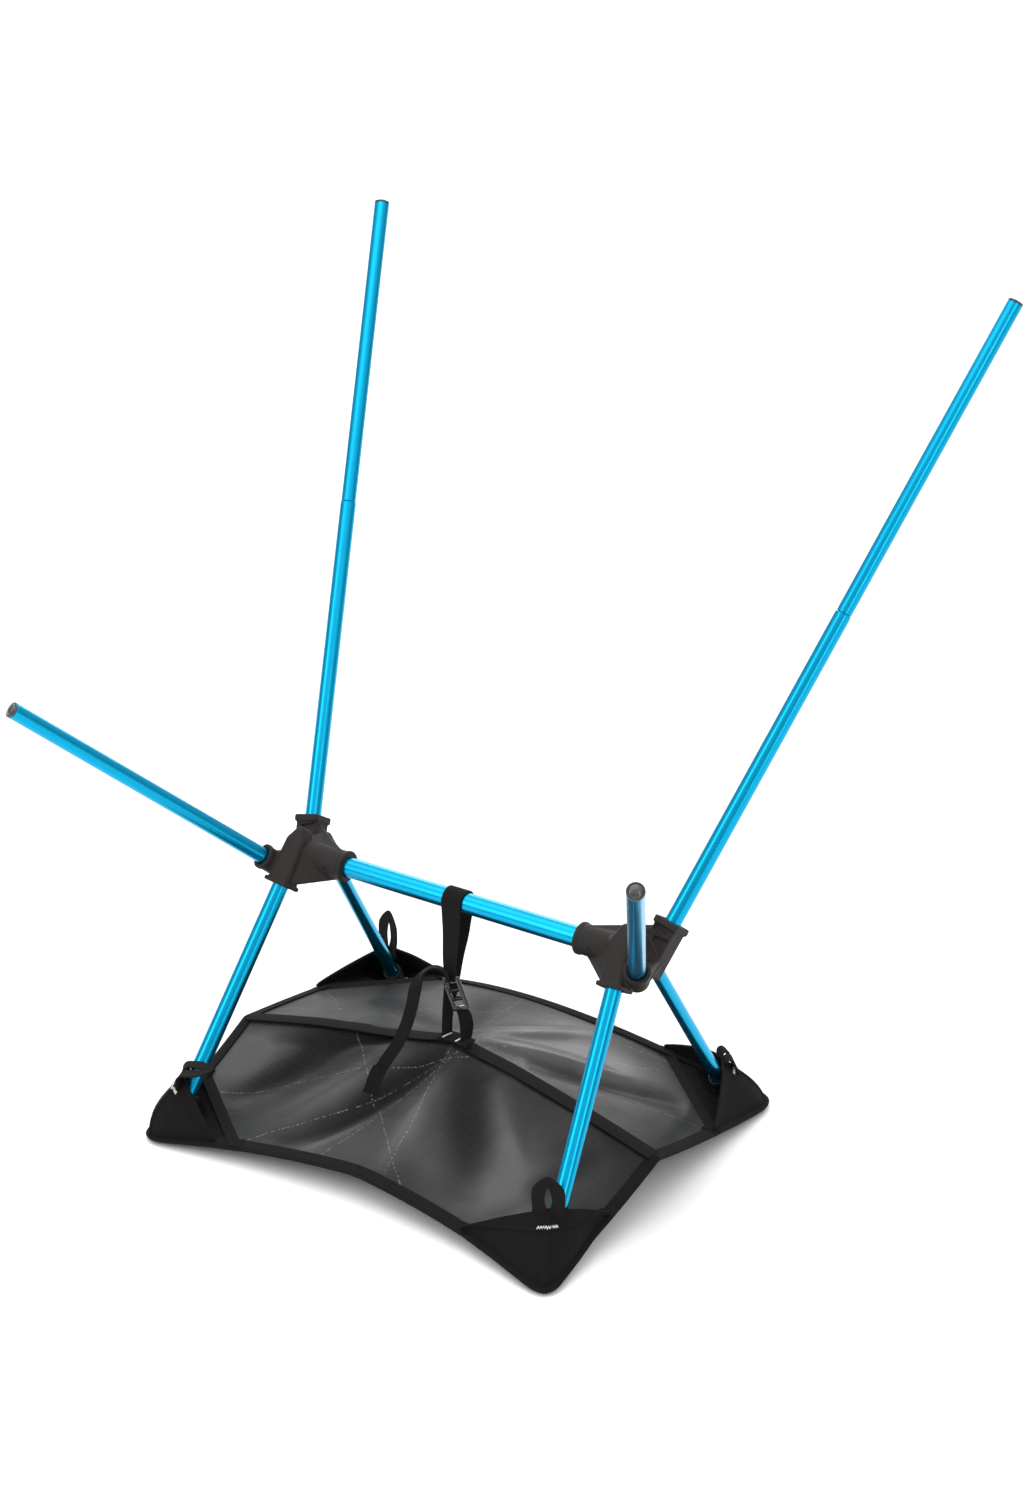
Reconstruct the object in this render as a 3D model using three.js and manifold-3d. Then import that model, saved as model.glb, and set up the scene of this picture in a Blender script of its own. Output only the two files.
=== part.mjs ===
// Ultralight backpacking chair: the pole frame on its two moulded hubs, with the ground sheet fitted.
// Millimetres, +Z up, front towards -Y, origin on the ground under the middle of the chair.
import * as THREE from "three";
import { ConvexGeometry } from "three/addons/geometries/ConvexGeometry.js";
import { mergeVertices } from "three/addons/utils/BufferGeometryUtils.js";
import Module from "manifold-3d";

const wasm = await Module();
wasm.setup();

// ---- Driving dimensions ----
const gap = 0.3;                    // clearance between pieces that touch
const facets = 16;                  // facets round every tube, sleeve and bore
const meshTolerance = 0.03;         // edges shorter than this are merged after a boolean

// Crossbar: one tube along X between the hubs; every other place below is given from its axis in plan.
const crossbar = { height: 186.8, diameter: 16, wall: 1, halfLength: 131, halfVisible: 106 };

// Poles of the right-hand side: the middle of the hub's mouth, the far end, the tube and its socket.
const poles = {
  back: { mouth: [165.0, 32.9, 202.3], end: [283.0, 298.6, 625.3], diameter: 12.7, wall: 0.9 },
  front: { mouth: [170.3, -25.2, 189.5], end: [267.2, -189.0, 347.2], diameter: 12.6, wall: 0.9 },
  frontLeg: { mouth: [152.0, -26.9, 169.4], end: [169.8, -141.2, 11.0], diameter: 13.0, wall: 1 },
  rearLeg: { mouth: [145.6, 33.7, 165.7], end: [157.9, 133.4, 9.9], diameter: 10.9, wall: 0.9 },
};
const socketDepth = 30;             // how far each pole sits in its hub
const backLowerLength = 256;        // lower back section, from the hub's mouth to the joint
const backUpper = { diameter: 11.9, wall: 0.9 };
const ferrule = { length: 60, wall: 0.8 };
const cordDiameter = 2.4;           // shock cord inside the poles
const cordReach = 42;               // how far each cord piece reaches into its tube

// Hub
const collar = { radius: 12, rimRadius: 12.6, rimLength: 3 };
const legBlock = { width: 19, depth: 19, flange: 22, flangeLength: 4 };
const backBlock = { width: 18, depth: 20, lip: 21, lipLength: 5 };
const sleeveWall = 3.2;
const pin = { diameter: 2.5, x: 121 };

// End pieces
const plugHead = 3;
const plugStem = 12;
const cap = { wall: 2.2, insertion: 22 };

// Ground sheet: half widths and the y and z of its outline and its raised middle.
// It is tied up a little more on its left side, so its side edges sag by two powers behind the band.
const sheet = {
  bandHalf: 191, frontHalf: 182, rearHalf: 186,
  bandEndY: -27, bandMidY: -13, frontCornerY: -165, frontMidY: -140, rearCornerY: 151, rearMidY: 112,
  middleZ: 75, bandEndZ: 42, frontMidZ: 22, rearMidZ: 52, cornerZ: 3,
  frontSag: 1.35, rearSagLeft: 0.6, rearSagRight: 1.4,
  thickness: 1.2, bindingThickness: 2.2,
};
const bindingStart = 0.9;           // share of the way from the band to an edge where its binding starts
const sideBindingStart = 0.932;
const bandHalfShare = 0.05;         // half width of the middle band, as a share of a panel's depth

// Corner pockets: the cloth's wall, the hem's height over the mouth's line, the cover's bulge, the floor's
// thickness and drop at the mouth, and the radius round the foot inside which it lies flat.
const pocket = { wall: 1.6, lift: 4, fullness: 3, floor: 1.3, mouthDrop: 4, flatRadius: 34 };
const footPad = { radius: 12, thickness: 1.5 };
const pullLoop = { width: 24, height: 31, slot: 8, slotHeight: 17, thickness: 1.8 };

// Tie strap round the crossbar
const strap = { width: 17, narrow: 10.5, thickness: 1.5, x: -3.5, anchorZ: 78 };
const buckleSize = { width: 15, length: 27, thickness: 4 };
const tail = { width: 10, thickness: 1.4 };

// ---- Materials ----
function finish(color, roughness, metalness) {
  return new THREE.MeshStandardMaterial({ color, roughness, metalness });
}

const blueAnodised = finish(0x009fdc, 0.3, 0.85);
const hubPlastic = finish(0x2b2a2a, 0.6, 0);
const rubber = finish(0x1c1c1d, 0.75, 0);
const plugPlastic = finish(0x3a3c40, 0.25, 0);
const steel = finish(0x8e9196, 0.35, 1);
const cordWeave = finish(0x33373b, 0.85, 0);
const sheetFabric = finish(0x5a5857, 0.6, 0);
const webbing = finish(0x151414, 0.9, 0);
const buckleGloss = finish(0x0c0c0d, 0.15, 0);

// ---- Shape helpers ----
const point = (x, y, z) => new THREE.Vector3(x, y, z);

// Turns an outline of [radius, height] pairs round Z.
function turned(outline, segments = facets) {
  const profile = outline.map(([r, h]) => new THREE.Vector2(r, h));
  return new THREE.LatheGeometry(profile, segments).rotateX(Math.PI / 2);
}

function tube(outerRadius, innerRadius, from, to) {
  const start = [outerRadius, from];
  return turned([start, [outerRadius, to], [innerRadius, to], [innerRadius, from], start]);
}

function rod(radius, from, to, segments = facets) {
  return turned([[0, from], [radius, from], [radius, to], [0, to]], segments);
}

// Joins matching closed sections into one body; each section's points go round the same way.
function loft(sections) {
  const count = sections[0].length;
  const vertices = sections.flat().flatMap((p) => [p.x, p.y, p.z]);
  const index = [];
  for (let s = 0; s + 1 < sections.length; s += 1) {
    for (let i = 0; i < count; i += 1) {
      const a = s * count + i;
      const b = s * count + ((i + 1) % count);
      index.push(a, b, b + count, a, b + count, a + count);
    }
  }
  const last = (sections.length - 1) * count;
  for (let i = 1; i + 1 < count; i += 1) {
    index.push(0, i + 1, i);
    index.push(last, last + i, last + i + 1);
  }
  const geometry = new THREE.BufferGeometry();
  geometry.setAttribute("position", new THREE.Float32BufferAttribute(vertices, 3));
  geometry.setIndex(index);
  return geometry;
}

// A strip of flat material: a section across `wide` at each point of the route, thickness along `thick`.
function strip(route, wide, thick, width, thickness) {
  const sections = route.map((p, i) => {
    const w = wide[i].clone().multiplyScalar(width / 2);
    const t = thick[i].clone().multiplyScalar(thickness / 2);
    return [
      p.clone().sub(w).sub(t), p.clone().add(w).sub(t),
      p.clone().add(w).add(t), p.clone().sub(w).add(t),
    ];
  });
  return loft(sections);
}

// ---- Booleans ----
function solid(geometry, matrix = null) {
  const shape = geometry.index ? geometry.toNonIndexed() : geometry.clone();
  shape.deleteAttribute("normal");
  shape.deleteAttribute("uv");
  if (matrix) shape.applyMatrix4(matrix);
  const merged = mergeVertices(shape, 1e-3);
  const mesh = new wasm.Mesh({
    numProp: 3,
    vertProperties: new Float32Array(merged.attributes.position.array),
    triVerts: new Uint32Array(merged.index.array),
  });
  return new wasm.Manifold(mesh);
}

function geometryOf(manifold) {
  const mesh = manifold.simplify(meshTolerance).getMesh();
  const geometry = new THREE.BufferGeometry();
  geometry.setAttribute("position", new THREE.BufferAttribute(mesh.vertProperties, 3));
  geometry.setIndex(new THREE.BufferAttribute(mesh.triVerts, 1));
  return geometry;
}

const joined = (solids) => solids.reduce((whole, next) => whole.add(next));
const cut = (body, tools) => tools.reduce((whole, next) => whole.subtract(next), body);
const hull = (points) => solid(new ConvexGeometry(points));

function largest(manifold) {
  const pieces = manifold.decompose();
  return pieces.reduce((best, next) => (next.volume() > best.volume() ? next : best));
}

// ---- Scene ----
const chair = new THREE.Group();

function add(name, geometry, material, parent = chair) {
  geometry.computeVertexNormals();
  const mesh = new THREE.Mesh(geometry, material);
  mesh.name = name;
  parent.add(mesh);
  return mesh;
}

// A pole's own frame: +Z out of the hub along the pole, zero at its mouth, +X nearest to the chair's +X.
function poleFrame(pole, side) {
  const mouth = point(side * pole.mouth[0], pole.mouth[1], pole.mouth[2]);
  const end = point(side * pole.end[0], pole.end[1], pole.end[2]);
  const direction = end.clone().sub(mouth).normalize();
  const depthwise = direction.clone().cross(point(1, 0, 0)).normalize();
  const sideways = depthwise.clone().cross(direction);
  const frame = new THREE.Group();
  frame.position.copy(mouth);
  frame.quaternion.setFromRotationMatrix(new THREE.Matrix4().makeBasis(sideways, depthwise, direction));
  frame.updateMatrix();
  return { frame, direction, mouth, length: mouth.distanceTo(end), radius: pole.diameter / 2 };
}

// ---- Poles, plugs and feet ----
function tipPlug(name, frame, outerRadius, innerRadius, tip) {
  const seat = tip - plugHead;
  const stemRadius = innerRadius - gap;
  const outline = [
    [0, seat - plugStem], [stemRadius, seat - plugStem], [stemRadius, seat + gap],
    [outerRadius, seat + gap], [outerRadius, seat + 1.2], [outerRadius * 0.86, seat + 2.2],
    [outerRadius * 0.55, tip], [0, tip],
  ];
  add(name, turned(outline), plugPlastic, frame);
}

// Outline of a wall of one radius from `from` to `to` and a round end beyond it.
function domed(radius, from, to) {
  const outline = [[radius, from]];
  const steps = 4;
  for (let i = 0; i <= steps; i += 1) {
    const angle = (i / steps) * (Math.PI / 2);
    outline.push([radius * Math.cos(angle), to + radius * Math.sin(angle)]);
  }
  return outline;
}

function footCap(name, frame, tubeRadius, end) {
  const bore = tubeRadius + gap;
  const rim = end - cap.insertion;
  const outline = [[0, end + gap], [bore, end + gap], [bore, rim]];
  add(name, turned([...outline, ...domed(tubeRadius + cap.wall, rim, end)]), rubber, frame);
}

function shockCord(name, frame, seat) {
  add(name, rod(cordDiameter / 2, seat - socketDepth, seat - socketDepth + cordReach, 8), cordWeave, frame);
}

function buildPoles(side, label) {
  const at = {};
  for (const key of Object.keys(poles)) {
    at[key] = poleFrame(poles[key], side);
    chair.add(at[key].frame);
  }
  const boreOf = (pole) => pole.diameter / 2 - pole.wall;
  const addTube = (name, frame, outer, inner, from, to) => {
    add(`${name}_${label}`, tube(outer, inner, from, to), blueAnodised, frame);
  };

  const lowerBore = boreOf(poles.back);
  addTube("back_lower", at.back.frame, at.back.radius, lowerBore, -socketDepth, backLowerLength);

  const upperRadius = backUpper.diameter / 2;
  const upperBore = upperRadius - backUpper.wall;
  const upperEnd = at.back.length - plugHead;
  addTube("back_upper", at.back.frame, upperRadius, upperBore, backLowerLength + gap, upperEnd);

  const low = lowerBore - gap;
  const high = upperBore - gap;
  const bore = high - ferrule.wall;
  const bottom = backLowerLength - ferrule.length / 2;
  const top = backLowerLength + ferrule.length / 2;
  const ferruleRing = [
    [low, bottom], [low, backLowerLength - gap], [high, backLowerLength], [high, top],
    [bore, top], [bore, bottom], [low, bottom],
  ];
  add(`back_ferrule_${label}`, turned(ferruleRing), blueAnodised, at.back.frame);
  tipPlug(`back_tip_plug_${label}`, at.back.frame, upperRadius, upperBore, at.back.length);

  const frontBore = boreOf(poles.front);
  const frontEnd = at.front.length - plugHead;
  addTube("front_pole", at.front.frame, at.front.radius, frontBore, -socketDepth, frontEnd);
  tipPlug(`front_tip_plug_${label}`, at.front.frame, at.front.radius, frontBore, at.front.length);

  for (const [key, name] of [["frontLeg", "front_leg"], ["rearLeg", "rear_leg"]]) {
    const leg = at[key];
    addTube(name, leg.frame, leg.radius, boreOf(poles[key]), -socketDepth, leg.length);
    footCap(`${name}_cap_${label}`, leg.frame, leg.radius, leg.length);
    shockCord(`shock_cord_${name}_${label}`, leg.frame, 0);
  }
  shockCord(`shock_cord_back_${label}`, at.back.frame, 0);
  shockCord(`shock_cord_back_joint_${label}`, at.back.frame, backLowerLength);
  shockCord(`shock_cord_front_${label}`, at.front.frame, 0);
  return at;
}

// ---- Hubs ----
const alongX = (side) => new THREE.Matrix4().makeRotationY((side * Math.PI) / 2);
const atCrossbar = (side, geometry) => {
  const matrix = alongX(side).premultiply(new THREE.Matrix4().makeTranslation(0, 0, crossbar.height));
  return solid(geometry, matrix);
};

// A ball of points, for rounding the hull of the hub's core.
function ballPoints(centre, radius) {
  const ball = new THREE.IcosahedronGeometry(radius, 1).attributes.position;
  const points = [];
  for (let i = 0; i < ball.count; i += 1) {
    points.push(new THREE.Vector3().fromBufferAttribute(ball, i).add(centre));
  }
  return points;
}

function along(pole, distance) {
  return pole.mouth.clone().addScaledVector(pole.direction, distance);
}

function buildHub(side, label, at) {
  const bodies = [];
  bodies.push(atCrossbar(side, turned([
    [0, crossbar.halfVisible], [collar.rimRadius, crossbar.halfVisible],
    [collar.rimRadius, crossbar.halfVisible + collar.rimLength], [collar.radius, crossbar.halfVisible + 5],
    [collar.radius, 140], [0, 140],
  ])));

  // Core: the four sockets' inner ends and the collar, wrapped together.
  const collarEnd = point(side * 134, 0, crossbar.height);
  bodies.push(hull([
    ...ballPoints(collarEnd, 12),
    ...ballPoints(along(at.frontLeg, -socketDepth), 9),
    ...ballPoints(along(at.rearLeg, -socketDepth), 8.5),
    ...ballPoints(along(at.front, -socketDepth), 9),
    ...ballPoints(along(at.back, -socketDepth), 9.5),
  ]));

  // Round sleeves for the front pole and the rear leg, square blocks for the back pole and the front leg.
  const sleeve = (pole, radius, length) => solid(rod(radius, -length, 0), pole.frame.matrix);
  const block = (pole, width, depth, length, from = 0) => {
    const box = new THREE.BoxGeometry(width, depth, length).translate(0, 0, from - length / 2);
    return solid(box, pole.frame.matrix);
  };
  bodies.push(sleeve(at.front, at.front.radius + sleeveWall, socketDepth + 4));
  bodies.push(sleeve(at.rearLeg, at.rearLeg.radius + sleeveWall, socketDepth + 4));
  bodies.push(block(at.frontLeg, legBlock.width, legBlock.depth, socketDepth + 12));
  bodies.push(block(at.frontLeg, legBlock.flange, legBlock.flange, legBlock.flangeLength));
  bodies.push(block(at.back, backBlock.width, backBlock.depth, socketDepth + 6));
  bodies.push(block(at.back, backBlock.lip, backBlock.lip, backBlock.lipLength));

  // Wedge plate on the outer side, from the back pole's mouth down to the front pole's sleeve.
  bodies.push(hull([
    ...ballPoints(along(at.back, -5), 6.5),
    ...ballPoints(along(at.front, -6), 7.5),
    ...ballPoints(along(at.front, -socketDepth + 4), 9),
  ]));

  const bores = Object.values(at).map((pole) =>
    solid(rod(pole.radius + gap, -socketDepth - gap, 60), pole.frame.matrix));
  const crossbarEnd = crossbar.halfLength + gap;
  bores.push(atCrossbar(side, rod(crossbar.diameter / 2 + gap, 90, crossbarEnd)));
  bores.push(pinHole(side));
  add(`hub_${label}`, geometryOf(cut(joined(bodies), bores)), hubPlastic);
}

function pinMatrix(side) {
  const upright = new THREE.Matrix4().makeRotationX(Math.PI / 2);
  return upright.premultiply(new THREE.Matrix4().makeTranslation(side * pin.x, 0, crossbar.height));
}

const pinHole = (side) => solid(rod(pin.diameter / 2 + gap, -20, 20, 10), pinMatrix(side));

function buildCrossbar() {
  const radius = crossbar.diameter / 2;
  const half = crossbar.halfLength;
  const blank = atCrossbar(1, tube(radius, radius - crossbar.wall, -half, half));
  add("crossbar", geometryOf(cut(blank, [pinHole(1), pinHole(-1)])), blueAnodised);
  for (const [side, label] of [[1, "right"], [-1, "left"]]) {
    const geometry = rod(pin.diameter / 2, -collar.radius + 0.4, collar.radius - 0.4, 10);
    add(`hub_pin_${label}`, geometry.applyMatrix4(pinMatrix(side)), steel);
  }
}

// ---- Ground sheet ----
const mix = THREE.MathUtils.lerp;

// A point of the sheet: u from -1 (left edge) to 1, t from -1 (front edge) over 0 (band) to 1 (rear edge).
function sheetPoint(u, t) {
  const front = t < 0;
  const share = Math.abs(t);
  const across = Math.abs(u);
  const bulge = 1 - u * u;
  const edgeHalf = front ? sheet.frontHalf : sheet.rearHalf;
  const bandY = mix(sheet.bandMidY, sheet.bandEndY, across ** 1.5);
  const bandZ = mix(sheet.middleZ, sheet.bandEndZ, across ** 1.15);
  const edgeY = front
    ? mix(sheet.frontCornerY, sheet.frontMidY, bulge)
    : mix(sheet.rearCornerY, sheet.rearMidY, bulge ** 1.6);
  const edgeZ = front
    ? mix(sheet.cornerZ, sheet.frontMidZ, bulge)
    : mix(sheet.cornerZ, sheet.rearMidZ, bulge ** 1.4);
  const rearSag = mix(sheet.rearSagLeft, sheet.rearSagRight, (u + 1) / 2);
  const sag = front ? sheet.frontSag : rearSag;
  const x = u * mix(sheet.bandHalf, edgeHalf, share);
  return point(x, mix(bandY, edgeY, share), mix(edgeZ, bandZ, (1 - share) ** sag));
}

// A piece of the sheet between two shares each way, as a slab of one thickness.
function sheetSlab(uFrom, uTo, tFrom, tTo, uSteps, tSteps, thickness) {
  const sections = [];
  for (let i = 0; i <= uSteps; i += 1) {
    const u = mix(uFrom, uTo, i / uSteps);
    const line = [];
    for (let j = 0; j <= tSteps; j += 1) line.push(sheetPoint(u, mix(tFrom, tTo, j / tSteps)));
    const under = line.map((p) => p.clone().setZ(p.z - thickness / 2));
    const over = line.map((p) => p.clone().setZ(p.z + thickness / 2)).reverse();
    sections.push([...under, ...over]);
  }
  return solidStrip(sections);
}

// As loft, but the ends are closed strip by strip, so that they may be curved.
function solidStrip(sections) {
  const count = sections[0].length;
  const columns = count / 2;
  const body = loft(sections);
  const sideFaces = (sections.length - 1) * count * 6;
  const index = Array.from(body.index.array.slice(0, sideFaces));
  const last = (sections.length - 1) * count;
  for (let j = 0; j + 1 < columns; j += 1) {
    const under = j;
    const over = count - 1 - j;
    index.push(under, over, over - 1, under, over - 1, under + 1);
    index.push(last + under, last + over - 1, last + over, last + under, last + under + 1, last + over - 1);
  }
  body.setIndex(index);
  return body;
}

// ---- Corner pockets ----
// A pocket is a folded corner over one foot: a floor, and a cover from the edges up to an arched hem.
const pocketPlans = [
  { name: "front", leg: "frontLeg", edgeU: 0.57, sideT: -0.43, edgeT: -1, peakAt: 37, peak: [1, -13] },
  { name: "rear", leg: "rearLeg", edgeU: 0.56, sideT: 0.5, edgeT: 1, peakAt: 42, peak: [2, 18] },
];
const coverSteps = 12;

// The line along the sheet's edges from the mouth's one end, round the tip, to its other end.
function pocketEdge(plan, side, share) {
  if (share <= 0.5) return sheetPoint(side * mix(plan.edgeU, 1, share * 2), plan.edgeT);
  return sheetPoint(side, mix(plan.edgeT, plan.sideT, share * 2 - 1));
}

function pocketShape(plan, side, leg) {
  const peak = along(leg, leg.length - plan.peakAt).add(point(side * plan.peak[0], plan.peak[1], 0));
  const mouthStart = pocketEdge(plan, side, 0);
  const mouthEnd = pocketEdge(plan, side, 1);
  const control = peak.clone().multiplyScalar(2);
  control.addScaledVector(mouthStart, -0.5).addScaledVector(mouthEnd, -0.5);
  const hem = new THREE.QuadraticBezierCurve3(mouthStart, control, mouthEnd);
  return { plan, side, peak, mouthStart, mouthEnd, hem, foot: along(leg, leg.length) };
}

// Cover: from each point of the edge a bulging line up to the hem, as thick as the pocket's cloth.
function pocketCover(shape) {
  const { plan, side, hem, foot } = shape;
  const sections = [];
  for (let i = 0; i <= coverSteps; i += 1) {
    const share = i / coverSteps;
    const low = pocketEdge(plan, side, share);
    low.z -= sheet.thickness / 2;
    const high = hem.getPoint(share).add(point(0, 0, pocket.lift));
    const outwards = low.clone().sub(foot).setZ(0).normalize();
    const fullness = pocket.fullness * Math.sin(Math.PI * share);
    const outer = [];
    for (const rise of [0, 0.12, 0.35, 0.65, 1]) {
      const swell = fullness * Math.sin(Math.PI * Math.min(1, rise * 1.15)) + pocket.wall;
      outer.push(low.clone().lerp(high, rise).addScaledVector(outwards, swell));
    }
    const innerLine = outer.map((p) => p.clone().addScaledVector(outwards, -pocket.wall)).reverse();
    sections.push([...outer, ...innerLine]);
  }
  return solidStrip(side * plan.edgeT > 0 ? sections : sections.reverse());
}

// Floor: the corner of the sheet under the foot, flat on the ground there and rising to the mouth.
function pocketFloor(shape) {
  const { plan, side, foot } = shape;
  const sections = [];
  for (let i = 0; i <= coverSteps; i += 1) {
    const edge = pocketEdge(plan, side, i / coverSteps);
    edge.z -= sheet.thickness / 2;
    const outwards = edge.clone().sub(foot).setZ(0).normalize();
    edge.addScaledVector(outwards, pocket.wall / 2);
    const mouth = shape.mouthStart.clone().lerp(shape.mouthEnd, i / coverSteps);
    mouth.setZ(Math.max(mouth.z - pocket.mouthDrop, 0.4));
    const under = [0, 0.3, 0.6, 1].map((share) => {
      const p = edge.clone().lerp(mouth, share);
      const flat = Math.min(1, p.clone().sub(foot).setZ(0).length() / pocket.flatRadius);
      return p.setZ(Math.max(p.z * flat * flat, 0.15));
    });
    const over = under.map((p) => p.clone().setZ(p.z + pocket.floor)).reverse();
    sections.push([...under, ...over]);
  }
  return solidStrip(side * plan.edgeT < 0 ? sections : sections.reverse());
}

function buildPocket(plan, side, label, leg) {
  const shape = pocketShape(plan, side, leg);
  const cover = solid(pocketCover(shape));
  const floor = solid(pocketFloor(shape));
  const legRoom = solid(turned([
    [0, 0], [leg.radius + 1.5, 0], [leg.radius + 1.5, leg.length - cap.insertion - 3],
    ...domed(leg.radius + cap.wall + gap * 2, leg.length - cap.insertion - 2, leg.length),
  ]), leg.frame.matrix);
  const underFoot = new THREE.Matrix4().makeTranslation(shape.foot.x, shape.foot.y, 0);
  const pad = solid(rod(footPad.radius, 0, footPad.thickness), underFoot);
  const shell = largest(joined([cover, floor, pad]).subtract(legRoom));
  add(`${plan.name}_pocket_${label}`, geometryOf(shell), webbing);
  buildPullLoop(plan, side, label, shape);

  // What the sheet is cut back by, so that it meets the pocket's mouth and edges.
  const core = along(leg, leg.length - 20);
  const spread = [];
  for (let i = 0; i <= coverSteps; i += 1) {
    const p = pocketEdge(plan, side, i / coverSteps);
    p.addScaledVector(p.clone().sub(core).setZ(0).normalize(), 3);
    spread.push(p.clone().setZ(-20), p.clone().setZ(90));
  }
  return hull(spread);
}

// Folded webbing loop standing on the hem: two legs of tape with a slot between them.
function buildPullLoop(plan, side, label, shape) {
  const outline = new THREE.Shape();
  const half = pullLoop.width / 2;
  outline.moveTo(-half, 0);
  outline.lineTo(half, 0);
  outline.lineTo(half, pullLoop.height * 0.68);
  outline.lineTo(half * 0.36, pullLoop.height);
  outline.lineTo(-half * 0.36, pullLoop.height);
  outline.lineTo(-half, pullLoop.height * 0.68);
  const slot = new THREE.Path();
  const slotHalf = pullLoop.slot / 2;
  slot.moveTo(-slotHalf * 0.7, 5);
  slot.lineTo(-slotHalf, 5 + pullLoop.slotHeight * 0.6);
  slot.lineTo(0, 5 + pullLoop.slotHeight);
  slot.lineTo(slotHalf, 5 + pullLoop.slotHeight * 0.6);
  slot.lineTo(slotHalf * 0.7, 5);
  outline.holes.push(slot);
  const geometry = new THREE.ExtrudeGeometry(outline, { depth: pullLoop.thickness, bevelEnabled: false });
  geometry.translate(0, 0, -pullLoop.thickness / 2);
  const mesh = add(`${plan.name}_pull_loop_${label}`, geometry, webbing);
  const facing = plan.name === "front" ? -1 : 1;
  mesh.rotation.set(Math.PI / 2, 0, 0);
  mesh.rotateY(side * facing * -0.3);
  mesh.position.copy(shape.peak).add(point(0, facing * (pocket.wall + 0.6), 4.6));
}

// ---- Tie strap ----
// Webbing over the crossbar. Its rear ply runs down to the anchor, turning a quarter on the way; its front
// ply runs down to the buckle.
function buildTieStrap() {
  const wrap = crossbar.diameter / 2 + gap + strap.thickness / 2;
  const route = [];
  const wide = [];
  const thick = [];
  const push = (x, y, z, turn, width, ny = 1, nz = 0) => {
    route.push(point(x, y, z));
    wide.push(point(Math.cos(turn), Math.sin(turn), 0).multiplyScalar(width / strap.width));
    thick.push(point(-Math.sin(turn) * ny, Math.cos(turn) * ny, nz));
  };
  push(-5.4, sheet.bandMidY, strap.anchorZ + 0.6, 1.45, strap.narrow);
  push(-5.2, sheet.bandMidY + 1, 95, 1.35, strap.narrow);
  push(-5, sheet.bandMidY + 6, 118, 0.9, 11.5);
  push(-5, -2, 140, 0.5, 13.5);
  push(-4.5, 4, 160, 0.2, 15.5);
  const turns = 8;
  for (let i = 0; i <= turns; i += 1) {
    const angle = (i / turns) * Math.PI;
    push(strap.x, wrap * Math.cos(angle), crossbar.height + wrap * Math.sin(angle), 0, strap.width,
      Math.cos(angle), Math.sin(angle));
  }
  push(-3.2, -wrap - 0.6, 165, 0, 14.5, -1);
  push(-2.6, -wrap - 3, 146, 0, 12.5, -1);
  push(-1.4, -wrap - 5, 134.5, 0, 11, -1);
  add("tie_strap", strip(route, wide, thick, strap.width, strap.thickness), webbing);
}

function buildBuckle() {
  const half = buckleSize.width / 2;
  const reach = buckleSize.length / 2;
  const frame = new THREE.Shape();
  frame.moveTo(-half + 1, -reach);
  frame.lineTo(half - 1, -reach);
  frame.lineTo(half, -reach + 3);
  frame.lineTo(half, reach - 5);
  frame.lineTo(half - 2, reach);
  frame.lineTo(-half + 2, reach);
  frame.lineTo(-half, reach - 5);
  frame.lineTo(-half, -reach + 3);
  const windowHalf = half - 2.1;
  for (const [low, high] of [[-reach + 3.3, -reach + 6.9], [-2.6, 1], [4.4, 8]]) {
    const window = new THREE.Path();
    window.moveTo(-windowHalf, low);
    window.lineTo(windowHalf, low);
    window.lineTo(windowHalf, high);
    window.lineTo(-windowHalf, high);
    frame.holes.push(window);
  }
  const plate = new THREE.ExtrudeGeometry(frame, { depth: buckleSize.thickness, bevelEnabled: false });
  plate.translate(0, 0, -buckleSize.thickness / 2);
  const mesh = add("buckle", plate, buckleGloss);
  mesh.position.set(5, -15.5, 117);
  mesh.rotation.set(Math.PI / 2, 0, 0);
  mesh.rotateZ(0.42);
}

function buildBuckleStrap() {
  const route = [point(12.6, -13.5, strap.anchorZ + 0.6), point(13.4, -13.6, 90), point(12.3, -14.6, 101)];
  const turns = [1.4, 1.0, 0.5];
  const wide = turns.map((turn) => point(Math.cos(turn), Math.sin(turn), 0));
  const thick = turns.map((turn) => point(-Math.sin(turn), Math.cos(turn), 0));
  add("buckle_strap", strip(route, wide, thick, strap.narrow, strap.thickness), webbing);

  const anchor = new THREE.BoxGeometry(27, 13, strap.thickness);
  anchor.translate(3.5, sheet.bandMidY - 0.8, strap.anchorZ - 0.9);
  add("strap_anchor", anchor, webbing);
}

// The strap's loose end: up out of the buckle, over towards the front left and down, with a folded end.
function buildStrapTail() {
  const curve = new THREE.CatmullRomCurve3([
    point(-1.5, -19.6, 132), point(-5, -21.5, 138), point(-10, -26, 139.5), point(-15.5, -35, 133),
    point(-20, -46, 116), point(-23, -58, 95), point(-26, -68, 73), point(-28, -76, 52),
  ]);
  const steps = 22;
  const route = curve.getSpacedPoints(steps);
  const tangents = route.map((p, i) => curve.getTangentAt(i / steps));
  const thick = tangents.map((along) => along.clone().cross(point(0.8, -0.6, 0)).normalize());
  const wide = tangents.map((along, i) => thick[i].clone().cross(along).normalize());
  add("strap_tail", strip(route, wide, thick, tail.width, tail.thickness), webbing);
}

// ---- Assembly ----
buildCrossbar();
const clearances = [];
for (const [side, label] of [[1, "right"], [-1, "left"]]) {
  const at = buildPoles(side, label);
  buildHub(side, label, at);
  for (const plan of pocketPlans) {
    clearances.push(buildPocket(plan, side, label, at[plan.leg]));
  }
}

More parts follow.
